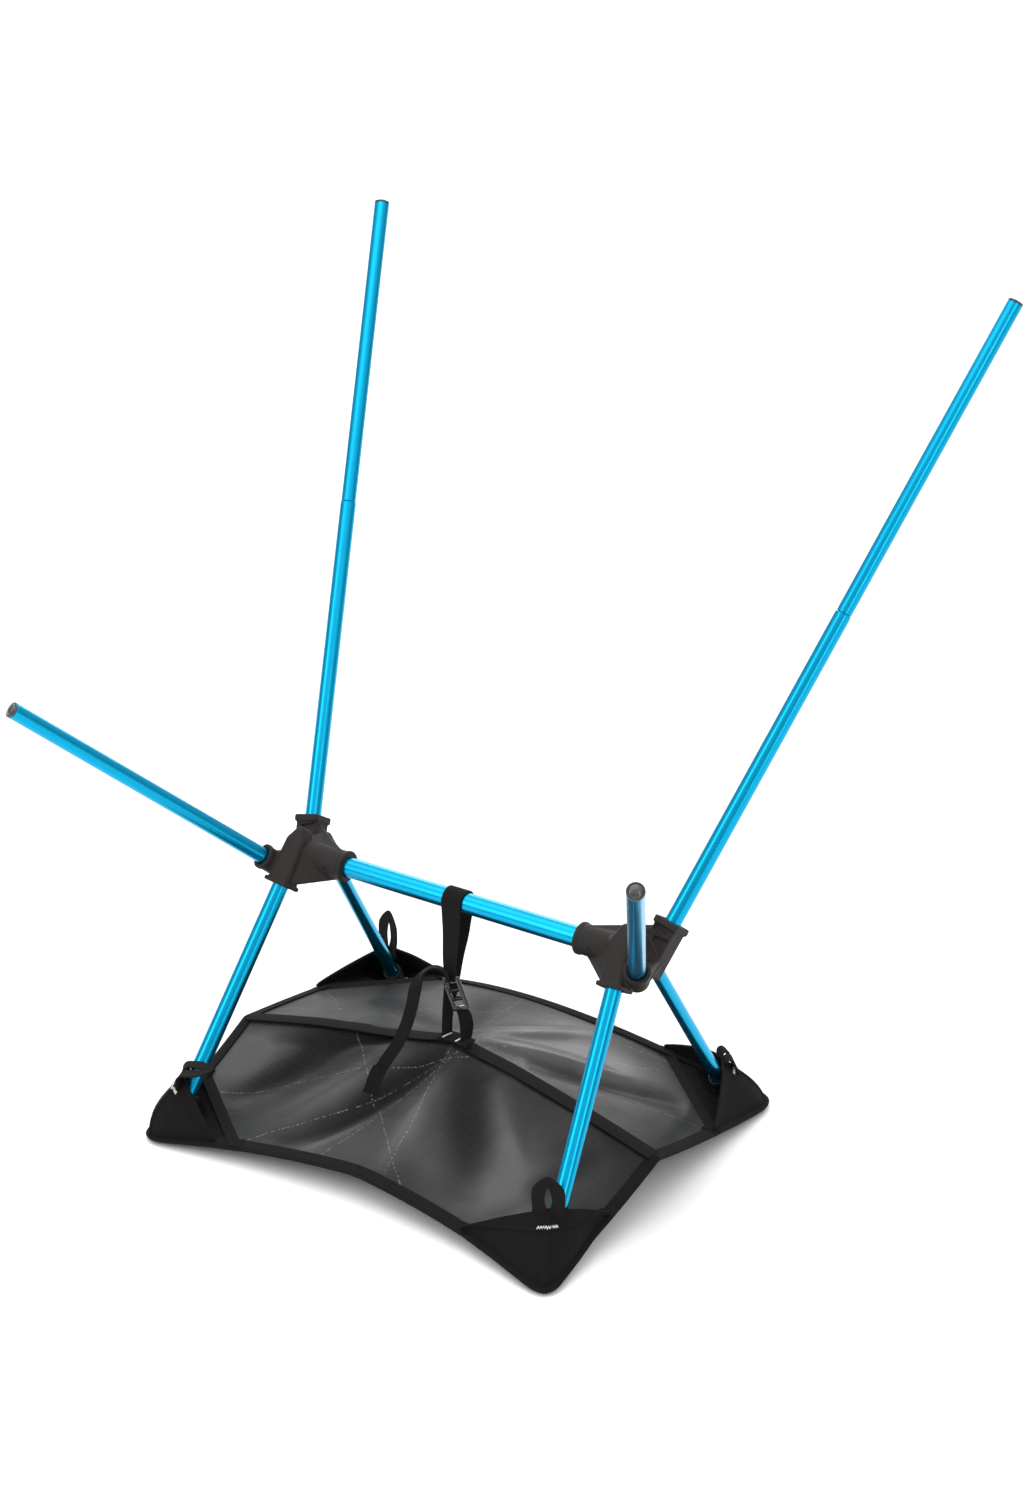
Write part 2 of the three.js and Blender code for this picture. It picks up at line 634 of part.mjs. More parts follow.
const panelEnd = bindingStart - 0.003;
const panelSide = sideBindingStart - 0.002;
const bandEdge = bandHalfShare + 0.003;
const fabricPieces = [
  ["sheet_front_panel", [-panelSide, panelSide, -panelEnd, -bandEdge, 22, 8, sheet.thickness], sheetFabric],
  ["sheet_rear_panel", [-panelSide, panelSide, bandEdge, panelEnd, 22, 8, sheet.thickness], sheetFabric],
  ["middle_band", [-panelSide, panelSide, -bandHalfShare, bandHalfShare, 22, 2, sheet.thickness], webbing],
  ["front_binding", [-0.8, 0.8, -1, -bindingStart, 16, 1, sheet.bindingThickness], webbing],
  ["rear_binding", [-0.8, 0.8, bindingStart, 1, 16, 1, sheet.bindingThickness], webbing],
  ["side_binding_right", [sideBindingStart, 1, -0.8, 0.8, 1, 16, sheet.bindingThickness], webbing],
  ["side_binding_left", [-1, -sideBindingStart, -0.8, 0.8, 1, 16, sheet.bindingThickness], webbing],
];
for (const [name, extent, material] of fabricPieces) {
  const piece = largest(cut(solid(sheetSlab(...extent)), clearances));
  add(name, geometryOf(piece), material);
}

buildTieStrap();
buildBuckle();
buildBuckleStrap();
buildStrapTail();

// Stand the chair over its origin: the middle of its depth goes to y = 0.
chair.updateMatrixWorld(true);
const extent = new THREE.Box3().setFromObject(chair, true);
const assembly = new THREE.Group();
chair.position.y = -(extent.min.y + extent.max.y) / 2;
assembly.add(chair);

export default assembly;
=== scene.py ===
"""Ultralight backpacking chair: a blue pole frame on two hubs, standing in its ground sheet."""

import math

import bpy
import numpy as np
from mathutils import Matrix, Vector


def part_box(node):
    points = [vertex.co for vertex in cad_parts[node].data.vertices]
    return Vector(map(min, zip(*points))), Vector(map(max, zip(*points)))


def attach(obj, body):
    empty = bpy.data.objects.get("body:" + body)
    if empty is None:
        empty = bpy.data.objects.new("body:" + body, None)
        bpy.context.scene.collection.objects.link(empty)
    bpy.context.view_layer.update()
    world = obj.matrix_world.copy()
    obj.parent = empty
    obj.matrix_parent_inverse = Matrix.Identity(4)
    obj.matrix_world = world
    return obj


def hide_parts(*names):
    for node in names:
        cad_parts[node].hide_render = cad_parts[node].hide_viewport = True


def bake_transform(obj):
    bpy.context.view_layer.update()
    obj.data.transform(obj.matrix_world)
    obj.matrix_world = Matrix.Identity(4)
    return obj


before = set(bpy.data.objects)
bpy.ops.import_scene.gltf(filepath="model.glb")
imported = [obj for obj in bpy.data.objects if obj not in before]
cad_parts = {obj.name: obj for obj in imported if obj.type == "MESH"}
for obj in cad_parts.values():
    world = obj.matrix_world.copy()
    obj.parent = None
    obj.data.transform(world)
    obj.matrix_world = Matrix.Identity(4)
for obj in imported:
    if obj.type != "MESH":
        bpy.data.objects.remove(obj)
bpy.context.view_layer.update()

MM = 0.001
SIDES = {"right": 1, "left": -1}
bar_low, bar_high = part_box("crossbar")
bar_centre = (bar_low + bar_high) / 2
bar_radius = (bar_high.z - bar_low.z) / 2


def at(x, y, z):
    """A point given in millimetres, with y counted from the crossbar, in the row frame."""
    return Vector((x * MM, y * MM + bar_centre.y, z * MM))


# ---- Camera ----
azimuth, elevation = math.radians(33.9), math.radians(23.57)
level = math.cos(elevation)
back = Vector((math.sin(azimuth) * level, -math.cos(azimuth) * level, math.sin(elevation)))
camera = bpy.data.objects.new("camera", bpy.data.cameras.new("camera"))
bpy.context.scene.collection.objects.link(camera)
camera.data.lens = 69.69
camera.data.clip_start, camera.data.clip_end = 0.05, 400
camera.location = Vector((0.04704, bar_centre.y, 0.32245)) + back * 2.1034
camera.rotation_euler = (-back).to_track_quat("-Z", "Y").to_euler()
bpy.context.scene.camera = camera


# ---- Materials ----
class Value:
    """A shader value that Python sums can use; each sum adds its Math node."""

    def __init__(self, maker, socket):
        self.maker = maker
        self.socket = socket

    def math(self, operation, *others):
        inputs = dict(enumerate((self, *others)))
        return self.maker.node("ShaderNodeMath", {"operation": operation}, inputs)

    def __add__(self, other):
        return self.math("ADD", other)

    def __mul__(self, other):
        return self.math("MULTIPLY", other)

    def __sub__(self, other):
        return self.math("SUBTRACT", other)

    def __rsub__(self, other):
        return self.maker.node("ShaderNodeMath", {"operation": "SUBTRACT"}, {0: other, 1: self})

    def __gt__(self, other):
        return self.math("GREATER_THAN", other)

    def __lt__(self, other):
        return self.math("LESS_THAN", other)

    __radd__ = __add__
    __rmul__ = __mul__


class Nodes:
    """Adds nodes to a tree."""

    def __init__(self, owner):
        owner.use_nodes = True
        self.tree = owner.node_tree

    def node(self, kind, settings=None, inputs=None, output=0):
        made = self.tree.nodes.new(kind)
        for key, value in (settings or {}).items():
            setattr(made, key, value)
        for key, value in (inputs or {}).items():
            self.feed(made.inputs[key], value)
        return Value(self, made.outputs[output])

    def feed(self, socket, value):
        if isinstance(value, Value):
            self.tree.links.new(value.socket, socket)
        else:
            socket.default_value = value

    def split(self, vector):
        parts = self.node("ShaderNodeSeparateXYZ", inputs={0: vector})
        return [Value(self, output) for output in parts.socket.node.outputs]


class Finish(Nodes):
    """One procedural material: its nodes, built on the principled shader."""

    def __init__(self, name, **constants):
        self.material = bpy.data.materials.new(name)
        super().__init__(self.material)
        self.shader = self.tree.nodes["Principled BSDF"]
        self.set(**constants)

    def own(self):
        """A turned piece's coordinates before it was set in place: its axis is Z."""
        return self.node("ShaderNodeAttribute", {"attribute_name": "own"}, output="Vector")

    def object(self):
        return self.node("ShaderNodeTexCoord", output="Object")

    def uv(self):
        return self.node("ShaderNodeTexCoord", output="UV")

    def scaled(self, vector, scale):
        return self.node("ShaderNodeMapping", inputs={"Vector": vector, "Scale": scale})

    def noise(self, vector, scale, detail=3.0):
        return self.node(
            "ShaderNodeTexNoise", inputs={"Vector": vector, "Scale": scale, "Detail": detail}
        )

    def mix(self, share, first, second):
        """A share of the second colour over the first, which is a plain or a varying one."""
        under = first if isinstance(first, Value) else (*first, 1)
        inputs = {"Factor": share, 6: under, 7: (*second, 1)}
        return self.node("ShaderNodeMix", {"data_type": "RGBA"}, inputs, output=2)

    def bump(self, height, distance, strength=1.0):
        inputs = {"Height": height, "Distance": distance, "Strength": strength}
        self.feed(self.shader.inputs["Normal"], self.node("ShaderNodeBump", inputs=inputs))

    def set(self, **values):
        for key, value in values.items():
            self.feed(self.shader.inputs[key.replace("_", " ")], value)
        return self.material


def anodised(name, on_turned=True):
    """Satin dyed aluminium: fine lines along the tube, faint change of depth in the dye."""
    finish = Finish(name, Metallic=0.95, Coat_Weight=0.12, Coat_Roughness=0.14)
    place = finish.own() if on_turned else finish.object()
    stretch = (1, 1, 0.03) if on_turned else (0.03, 1, 1)
    lines = finish.noise(finish.scaled(place, stretch), 2600)
    depth = finish.noise(place, 26)
    share = lines * 0.2 + depth * 0.6 + 0.1
    finish.bump(lines, 0.00002, 0.06)
    return finish.set(
        Base_Color=finish.mix(share, (0.0, 0.30, 0.53), (0.0, 0.38, 0.65)),
        Roughness=lines * 0.03 + 0.25,
    )


def moulded(name, shade, rough, grain, depth, **constants):
    """Moulded plastic or rubber with a fine spark-etched grain and slightly scuffed patches."""
    finish = Finish(name, **constants)
    place = finish.object()
    fine = finish.noise(place, grain, 2.0)
    patches = finish.noise(place, 55, 4.0)
    finish.bump(fine, depth, 0.5)
    lighter = tuple(value * 1.9 + 0.004 for value in shade)
    return finish.set(
        Base_Color=finish.mix(patches * 0.55 + fine * 0.25, shade, lighter),
        Roughness=patches * 0.22 + fine * 0.1 + (rough - 0.16),
    )


def woven_tape(name, shade, lighter, pitch, depth):
    """Woven tape: a twill of ribs on the piece's own UV, in metres."""
    finish = Finish(name, Sheen_Weight=0.015, Sheen_Roughness=0.4, Specular_IOR_Level=0.1)
    across, along, _ = finish.split(finish.uv())
    turn = math.tau / pitch
    ribs = (across * turn + along * (turn * 0.5)).math("SINE")
    picks = (along * turn - across * (turn * 0.25)).math("SINE")
    weave = ribs * picks * 0.5 + 0.5
    fuzz = finish.noise(finish.uv(), 900, 2.0)
    finish.bump(weave * 0.8 + fuzz * 0.5, depth)
    return finish.set(
        Base_Color=finish.mix(weave * 0.6 + fuzz * 0.4, shade, lighter),
        Roughness=0.92 - weave * 0.22,
    )


YARN_PITCH, RIPSTOP_PITCH = 0.0009, 0.0052
# Lines where the cloth was once folded: slope and offset in metres, in plan from the crossbar.
CREASES = [(0.48, -0.027), (1.1, -0.030), (2.75, -0.039), (-7.0, 0.010), (-0.9, -0.1), (0.4, 0.07)]
CREASE_HALF, CREASE_WANDER = 0.0004, 0.014


def crease(across, along, wander, slope, offset):
    """A thin, slightly wandering line across the cloth."""
    slant = math.hypot(1, slope)
    away = along - across * slope + wander * (CREASE_WANDER * slant) - offset
    return away.math("ABSOLUTE") < CREASE_HALF * slant


def coated_ripstop(name):
    """Thin coated ripstop: a fine grid of heavier yarns, a gloss that deepens along the folds, and
    faint broken lines. A point attribute, 0 in a valley and 1 where the cloth is drawn tight, lays
    painted shade into the colour in the valleys and a painted sheen on tight cloth."""
    finish = Finish(
        name, Alpha=0.96, Specular_IOR_Level=0.15, Sheen_Weight=0.02, Coat_Roughness=0.24
    )
    uv = finish.uv()
    across, along, _ = finish.split(uv)
    turn = math.tau / YARN_PITCH
    yarn = (across * turn).math("SINE") * (along * turn).math("SINE") * 0.5 + 0.5
    grid = math.tau / RIPSTOP_PITCH
    ripstop = (across * grid).math("SINE").math("MAXIMUM", (along * grid).math("SINE")) > 0.975
    wander = finish.noise(uv, 9, 3.0) - 0.5
    crumple = finish.noise(uv, 24, 4.0)
    painted_fold_light_and_gloss = finish.node("ShaderNodeAttribute", {"attribute_name": "painted_fold_light_and_gloss"}, output="Fac")
    lines = crease(across, along, wander, *CREASES[0])
    for line in CREASES[1:]:
        lines = lines.math("MAXIMUM", crease(across, along, wander, *line))
    worn = lines * (finish.noise(uv, 520, 2.0) > 0.53)
    finish.bump(crumple * 0.9 + yarn * 0.02 + ripstop * 0.03, 0.0035, 0.6)
    # Share of painted light: low gives painted shade in the folds' valleys, high gives painted
    # sheen on tight cloth; it also sets the real roughness and coat.
    painted_light_and_gloss_share = (painted_fold_light_and_gloss + (crumple - 0.5) * 0.5).math("MINIMUM", 1.0).math("MAXIMUM", 0.0)
    painted_sheen_and_coat = painted_light_and_gloss_share * painted_light_and_gloss_share
    # The cloth's colour with painted light: near black as painted shade in the valleys, lighter
    # grey as painted sheen where the cloth is drawn tight.
    cloth = finish.mix(painted_sheen_and_coat, (0.0015, 0.0015, 0.0015), (0.046, 0.044, 0.043))
    gridded = finish.mix(ripstop * 0.1, cloth, (0.06, 0.059, 0.058))
    lined = finish.mix(worn * 0.36, gridded, (0.34, 0.33, 0.33))
    return finish.set(
        Base_Color=lined, Roughness=0.5 - painted_light_and_gloss_share * 0.16 + crumple * 0.1, Coat_Weight=painted_sheen_and_coat * 0.6
    )


def braided_cord(name):
    """Elastic cord in a braided sleeve."""
    finish = Finish(name, Roughness=0.8, Sheen_Weight=0.3)
    braid = finish.node(
        "ShaderNodeTexWave", {"wave_type": "BANDS", "bands_direction": "DIAGONAL"},
        {"Vector": finish.object(), "Scale": 700, "Distortion": 1.5},
    )
    finish.bump(braid, 0.0002)
    return finish.set(Base_Color=finish.mix(braid, (0.02, 0.022, 0.025), (0.09, 0.1, 0.11)))


def sewing_thread(name):
    """Pale twisted sewing thread."""
    finish = Finish(name, Roughness=0.6, Sheen_Weight=0.3)
    twist = finish.noise(finish.object(), 2500, 2.0)
    finish.bump(twist, 0.0001)
    return finish.set(Base_Color=finish.mix(twist, (0.62, 0.61, 0.58), (0.86, 0.85, 0.83)))


DARK = (0.002, 0.002, 0.002)
tube_blue = anodised("tube_blue")
bar_blue = anodised("bar_blue", on_turned=False)
hub_black = moulded(
    "hub_black", (0.0125, 0.0105, 0.0095), 0.58, 1700, 0.0002, Specular_IOR_Level=0.18
)
rubber_black = moulded(
    "rubber_black", (0.007, 0.007, 0.007), 0.7, 1500, 0.00018, Specular_IOR_Level=0.3
)
plug_grey = moulded("plug_grey", (0.014, 0.0145, 0.016), 0.3, 1800, 0.00004, Coat_Weight=0.8)
buckle_black = moulded(
    "buckle_black", (0.006, 0.006, 0.006), 0.22, 1600, 0.00003, Coat_Weight=0.8
)
pin_steel = moulded("pin_steel", (0.02, 0.02, 0.022), 0.5, 2600, 0.00003, Metallic=1.0)
tape_black = woven_tape("tape_black", DARK, (0.016, 0.015, 0.015), 0.0011, 0.0004)
strap_black = woven_tape("strap_black", DARK, (0.018, 0.016, 0.015), 0.0016, 0.0005)
pocket_cloth = woven_tape(
    "pocket_cloth", (0.002, 0.0017, 0.0017), (0.012, 0.0105, 0.0105), 0.0021, 0.0004
)
cord_braid = braided_cord("cord_braid")
thread_white = sewing_thread("thread_white")
sheet_grey = coated_ripstop("sheet_grey")


# ---- Shaping by hand ----
def deselect():
    if bpy.context.object and bpy.context.object.mode != "OBJECT":
        bpy.ops.object.mode_set(mode="OBJECT")
    bpy.ops.object.select_all(action="DESELECT")


def only(piece):
    deselect()
    piece.select_set(True)
    bpy.context.view_layer.objects.active = piece


def primitive(kind, **settings):
    """A new primitive, the only piece selected."""
    deselect()
    getattr(bpy.ops.mesh, f"primitive_{kind}_add")(**settings)
    return bpy.context.object


def settle(piece):
    """The piece's place goes into its mesh."""
    only(piece)
    bpy.ops.object.transform_apply(location=True, rotation=True, scale=True)


def apply_modifier(piece, kind, **settings):
    only(piece)
    modifier = piece.modifiers.new(kind.lower(), kind)
    for key, value in settings.items():
        setattr(modifier, key, value)
    bpy.ops.object.modifier_apply(modifier=modifier.name)


def place_in(piece, place):
    piece.matrix_world = place @ piece.matrix_world
    settle(piece)
    return piece


def joined(pieces):
    deselect()
    for piece in pieces:
        piece.select_set(True)
    bpy.context.view_layer.objects.active = pieces[0]
    bpy.ops.object.join()
    return bpy.context.object


def edit(piece, *steps):
    """Runs each step on the whole of the piece's mesh."""
    only(piece)
    bpy.ops.object.mode_set(mode="EDIT")
    bpy.ops.mesh.select_all(action="SELECT")
    for step in steps:
        step()
    bpy.ops.object.mode_set(mode="OBJECT")


def merge_close():
    bpy.ops.mesh.remove_doubles(threshold=1e-6)


def face_out():
    bpy.ops.mesh.normals_make_consistent(inside=False)


def smooth(piece, angle=35):
    only(piece)
    bpy.ops.object.shade_smooth_by_angle(angle=math.radians(angle))


def finish_piece(piece, name, material, node=None, body=None):
    """Gives a piece its name, material and slot, hides the CAD node it stands for and sets its
    body.
    """
    piece.name = name
    piece.data.name = name
    piece.data.materials.clear()
    piece.data.materials.append(material)
    if node:
        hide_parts(node)
    if body:
        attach(piece, body)


def turned(outline, place, sides=64):
    """A round piece: rings of [radius, height] in metres, each extruded from the last along Z."""
    radius, height = outline[0]
    closed = outline[0] == outline[-1]
    piece = primitive(
        "circle", vertices=sides, radius=radius, fill_type="NOTHING" if closed else "NGON",
        location=(0, 0, height),
    )
    bpy.ops.object.mode_set(mode="EDIT")
    bpy.ops.mesh.select_all(action="SELECT")
    for wider, higher in outline[1:]:
        bpy.ops.mesh.extrude_region_move(
            TRANSFORM_OT_translate={"value": (0, 0, higher - height)}
        )
        factor = wider / radius
        bpy.ops.transform.resize(value=(factor, factor, 1), center_override=(0, 0, higher))
        radius, height = wider, higher
    bpy.ops.object.mode_set(mode="OBJECT")
    settle(piece)
    edit(piece, merge_close, face_out)
    rest = np.zeros(len(piece.data.vertices) * 3, np.float32)
    piece.data.vertices.foreach_get("co", rest)
    own = piece.data.attributes.new("own", "FLOAT_VECTOR", "POINT")
    own.data.foreach_set("vector", rest)
    place_in(piece, place)
    smooth(piece)
    return piece


def formed_sheet(columns, rows, point_at, size, thickness):
    """Cloth or tape: a grid whose points follow point_at(a, b), with a and b from 0 to 1, given a
    wall of this thickness. Its UV covers size, in metres."""
    piece = primitive("grid", x_subdivisions=columns, y_subdivisions=rows, size=2)
    mesh = piece.data
    shares = [((v.co.x + 1) / 2, (v.co.y + 1) / 2) for v in mesh.vertices]
    layer = mesh.uv_layers.active.data
    for loop in mesh.loops:
        a, b = shares[loop.vertex_index]
        layer[loop.index].uv = (a * size[0], b * size[1])
    for vertex, (a, b) in zip(mesh.vertices, shares):
        vertex.co = point_at(a, b)
    mesh.update()
    if thickness:
        apply_modifier(piece, "SOLIDIFY", thickness=thickness, offset=0)
    smooth(piece, 50)
    return piece


# ---- Poles ----
def round_node(node):
    """The near end, direction, length and radius of a straight round CAD node on a hub's pole."""
    loose = np.array([v.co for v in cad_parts[node].data.vertices], float)
    points = np.unique(loose.round(6), axis=0)
    centre = points.mean(0)
    direction = Vector(np.linalg.svd(points - centre)[2][0])
    if direction.y * (Vector(centre) - bar_centre).y < 0:
        direction.negate()
    run = (points - centre) @ np.array(direction)
    near = Vector(centre) + direction * run.min()
    off = points - np.array(near)
    radius = np.linalg.norm(off - np.outer(off @ np.array(direction), direction), axis=1).max()
    return near, direction, float(run.max() - run.min()), float(radius)


def frame_at(origin, direction):
    """A matrix whose Z runs along direction and whose X stays nearest to the chair's X."""
    depthwise = direction.cross(Vector((1, 0, 0))).normalized()
    sideways = depthwise.cross(direction)
    turn = Matrix((sideways, depthwise, direction)).transposed().to_4x4()
    return Matrix.Translation(origin) @ turn


def tube_outline(radius, wall, rim, low, high):
    """A tube from low to high, open at both ends, with its outer rims rounded."""
    bore, soft = radius - wall * MM, rim * MM
    return [
        (bore, low), (radius - soft, low), (radius, low + soft), (radius, high - soft),
        (radius - soft, high), (bore, high), (bore, low),
    ]


def add_tube(node, wall, rim):
    near, direction, length, radius = round_node(node)
    piece = turned(tube_outline(radius, wall, rim, 0, length), frame_at(near, direction))
    finish_piece(piece, f"{node}_tube", tube_blue, node, node)


def add_plug(node, body, crown):
    """A plug: a stem in the tube, a thin grooved rim over the tube's end and a crowned face."""
    near, direction, length, radius = round_node(node)
    stem = radius - 1.2 * MM
    seat = length - 2.7 * MM
    rim = radius + 0.05 * MM
    outline = [
        (stem - 0.6 * MM, 0), (stem, 0.8 * MM), (stem, seat), (rim, seat),
        (rim, seat + 0.9 * MM), (radius - 0.35 * MM, seat + 1.3 * MM),
        (radius - 0.8 * MM, seat + 1.3 * MM), (radius - 1.0 * MM, seat + 0.8 * MM),
    ]
    for step in range(8):
        angle = step / 8 * math.pi / 2
        reach = (radius - 1.25 * MM) * math.cos(angle)
        outline.append((reach, seat + (0.8 + crown * math.sin(angle)) * MM))
    piece = turned(outline, frame_at(near, direction))
    finish_piece(piece, f"{node}_moulding", plug_grey, node, body)


def add_foot(node, leg):
    """A rubber cap: a rolled rim round the leg, a plain skirt and a domed end with tread rings."""
    near, direction, length, radius = round_node(node)
    bore = round_node(leg)[3] + 0.15 * MM
    end = length - radius
    outline = [
        (bore, end - 0.3 * MM), (bore, 0.6 * MM), (bore + 0.6 * MM, 0), (radius - 0.2 * MM, 0),
        (radius, 0.5 * MM), (radius, 2.6 * MM), (radius - 0.4 * MM, 3.1 * MM),
        (radius - 0.4 * MM, end - 4 * MM), (radius, end - 3 * MM), (radius, end),
    ]
    for step in range(1, 9):
        angle = step / 9 * math.pi / 2
        groove = 0.35 * MM if step in (4, 6) else 0
        reach = radius - groove
        outline.append((reach * math.cos(angle), end + reach * math.sin(angle)))
    piece = turned([(0.4 * MM, end - 0.3 * MM), *outline], frame_at(near, direction))
    finish_piece(piece, f"{node}_rubber", rubber_black, node, leg)


# The crossbar's frame: its Z runs along the bar.
BAR_PLACE = Matrix.Translation(bar_centre) @ Matrix.Rotation(math.pi / 2, 4, "Y")
# Each pole with its wall and its rim's rounding, and each plug's pole and crown, in millimetres.
POLES = [
    ("back_lower", 0.9, 0.5), ("back_upper", 0.9, 0.35), ("front_pole", 0.9, 0.35),
    ("front_leg", 1.0, 0.35), ("rear_leg", 0.9, 0.35),
]
PLUGS = [("back_tip_plug", "back_upper", 1.4), ("front_tip_plug", "front_pole", 2.3)]


def add_crossbar():
    half = (bar_high.x - bar_low.x) / 2
    piece = turned(tube_outline(bar_radius, 1, 0.3, -half, half), BAR_PLACE)
    finish_piece(piece, "crossbar_tube", tube_blue, "crossbar", "root")


def add_poles(side):
    for pole, wall, rim in POLES:
        add_tube(f"{pole}_{side}", wall, rim)
    for plug, pole, crown in PLUGS:
        add_plug(f"{plug}_{side}", f"{pole}_{side}", crown)
    for leg in ("front_leg", "rear_leg"):
        add_foot(f"{leg}_cap_{side}", f"{leg}_{side}")


# ---- Hubs ----
SOCKET = 30 * MM


def block(centre, size, soft, tilt=0.0):
    """A block in millimetres, tilted about X, with its edges rounded."""
    part = primitive("cube", size=1, location=[value * MM for value in centre])
    part.scale = [value * MM for value in size]
    part.rotation_euler = (tilt, 0, 0)
    settle(part)
    apply_modifier(part, "BEVEL", width=soft * MM, segments=3)
    return part


def box_part(place, width, depth, low, high, soft):
    """A block along a socket's Z from low to high, in millimetres."""
    return place_in(block((0, 0, (low + high) / 2), (width, depth, high - low), soft), place)


def round_part(place, radius, low, high):
    """A cylinder of this radius in metres along a socket's Z, from low to high in millimetres."""
    part = primitive(
        "cylinder", vertices=64, radius=radius, depth=(high - low) * MM,
        location=(0, 0, (low + high) / 2 * MM),
    )
    return place_in(part, place)


def wrapped(*balls):
    """One skin stretched over balls of (place, x, y, z, radius), in millimetres."""
    parts = []
    for place, x, y, z, radius in balls:
        centre = place @ Vector((x * MM, y * MM, z * MM))
        parts.append(
            primitive("ico_sphere", subdivisions=3, radius=radius * MM, location=centre)
        )
    skin = joined(parts)
    settle(skin)
    edit(skin, bpy.ops.mesh.convex_hull)
    return skin


def socket_places(side):
    """Each socket's frame at its mouth, and the radius of the pole in it."""
    places = {}
    for name in ("back_lower", "front_pole", "front_leg", "rear_leg"):
        near, direction, _, radius = round_node(f"{name}_{side}")
        places[name] = (frame_at(near + direction * SOCKET, direction), radius)
    return places


def hub_body():
    """The right hub: collar, four sockets, webs and wedge, moulded into one with soft fillets."""
    places = socket_places("right")
    back_place, _ = places["back_lower"]
    front_place, front_radius = places["front_pole"]
    leg_place, _ = places["front_leg"]
    rear_place, rear_radius = places["rear_leg"]
    collar = BAR_PLACE
    parts = [
        round_part(collar, 11.7 * MM, 106, 136),
        round_part(collar, 12.5 * MM, 106.3, 109.2),
        wrapped(
            (collar, 0, 0, 134, 11), (leg_place, 0, 0, -30, 8.5), (rear_place, 0, 0, -30, 8),
            (front_place, 0, 0, -30, 8.5), (back_place, 0, 0, -30, 9),
        ),
        # back pole's socket: a long straight block with a square lip
        box_part(back_place, 18.5, 18, -43, -1, 0.9),
        box_part(back_place, 21, 21, -5.5, 0, 0.8),
        # front leg's socket: a rounded block that tapers to its head, with a bottom flange
        wrapped(
            *((leg_place, x, y, -4.4, 4) for x in (-5.9, 5.9) for y in (-5, 5)),
            *((leg_place, x, y, -36, 4) for x in (-4.6, 4.6) for y in (-5, 5)),
            *((leg_place, 0, y, -44.5, 4) for y in (-4.5, 4.5)),
        ),
        box_part(leg_place, 21.5, 20.5, -3.6, 0, 0.9),
        # front pole's socket and the rear leg's: round sleeves with a lip
        round_part(front_place, front_radius + 3.1 * MM, -34, 0),
        round_part(front_place, front_radius + 3.9 * MM, -3.4, 0),
        round_part(rear_place, rear_radius + 3.1 * MM, -34, 0),
        round_part(rear_place, rear_radius + 3.8 * MM, -3, 0),
        # rib from the back socket's outer edge to the front socket
        wrapped(
            (back_place, 7.5, -7, -30, 2), (back_place, 7.5, -7, -41, 2),
            (front_place, 6, 3, -4, 2.6), (front_place, 4, 0, -24, 4),
        ),
        # thin web under the collar and a flared one from the collar up to the back socket
        wrapped(
            (leg_place, -8, 3, -3, 1.3), (leg_place, -8, 3, -26, 1.3),
            (collar, 10.5, 0, 112, 1.3), (collar, 8, 0, 130, 1.3),
        ),
        wrapped(
            (back_place, -7, -2, -8, 1.8), (back_place, -5, 3, -30, 1.8),
            (collar, -10.5, 0, 112, 1.5), (collar, -8, 0, 130, 2),
        ),
    ]
    body = joined(parts)
    apply_modifier(body, "REMESH", mode="VOXEL", voxel_size=0.7 * MM)
    apply_modifier(body, "SMOOTH", factor=0.5, iterations=4)

    cutters = [round_part(collar, bar_radius + 0.15 * MM, 90, 131.2)]
    for place, radius in places.values():
        cutters.append(round_part(place, radius + 0.2 * MM, -30.3, 12))
        cutters.append(chamfer_cutter(place, radius))
    # two openwork slots below the back socket's lip, then the crossbar pin's hole
    for low, high, lean in [(-11.5, -7.5, 0.5), (-17.5, -13.5, -0.5)]:
        slot = box_part(Matrix.Identity(4), 12.5, 6, low, high, 0.6)
        slot.rotation_euler = (0, lean * 0.35, 0)
        slot.location = (0, -10.2 * MM, 0)
        settle(slot)
        cutters.append(place_in(slot, back_place))
    pin = Matrix.Translation(Vector((121 * MM, bar_centre.y, bar_centre.z)))
    cutters.append(round_part(pin @ Matrix.Rotation(math.pi / 2, 4, "X"), 1.5 * MM, -20, 20))
    for cutter in cutters:
        apply_modifier(body, "BOOLEAN", operation="DIFFERENCE", object=cutter, solver="EXACT")
        bpy.data.objects.remove(cutter)
    return body


def chamfer_cutter(place, radius):
    """A short cone that eases a socket's mouth."""
    part = primitive(
        "cone", vertices=64, radius1=radius, radius2=radius + 1.9 * MM, depth=2 * MM,
        location=(0, 0, -0.55 * MM),
    )
    return place_in(part, place)


def add_hubs():
    right = hub_body()
    only(right)
    bpy.ops.object.duplicate()
    left = bpy.context.object
    left.scale = (-1, 1, 1)
    settle(left)
    edit(left, face_out)
    for side, hub in (("right", right), ("left", left)):
        smooth(hub, 40)
        finish_piece(hub, f"hub_{side}_moulding", hub_black, f"hub_{side}", "root")


# ---- Ground sheet ----
BAND_HALF, FRONT_HALF, REAR_HALF = 191, 182, 186
FRONT_CORNER_Y, FRONT_MID_Y, REAR_CORNER_Y, REAR_MID_Y = -165, -140, 151, 112
BAND_END_Y, BAND_MID_Y = -27, -13
MIDDLE_Z, BAND_END_Z, FRONT_MID_Z, REAR_MID_Z, CORNER_Z = 75, 42, 22, 52, 3

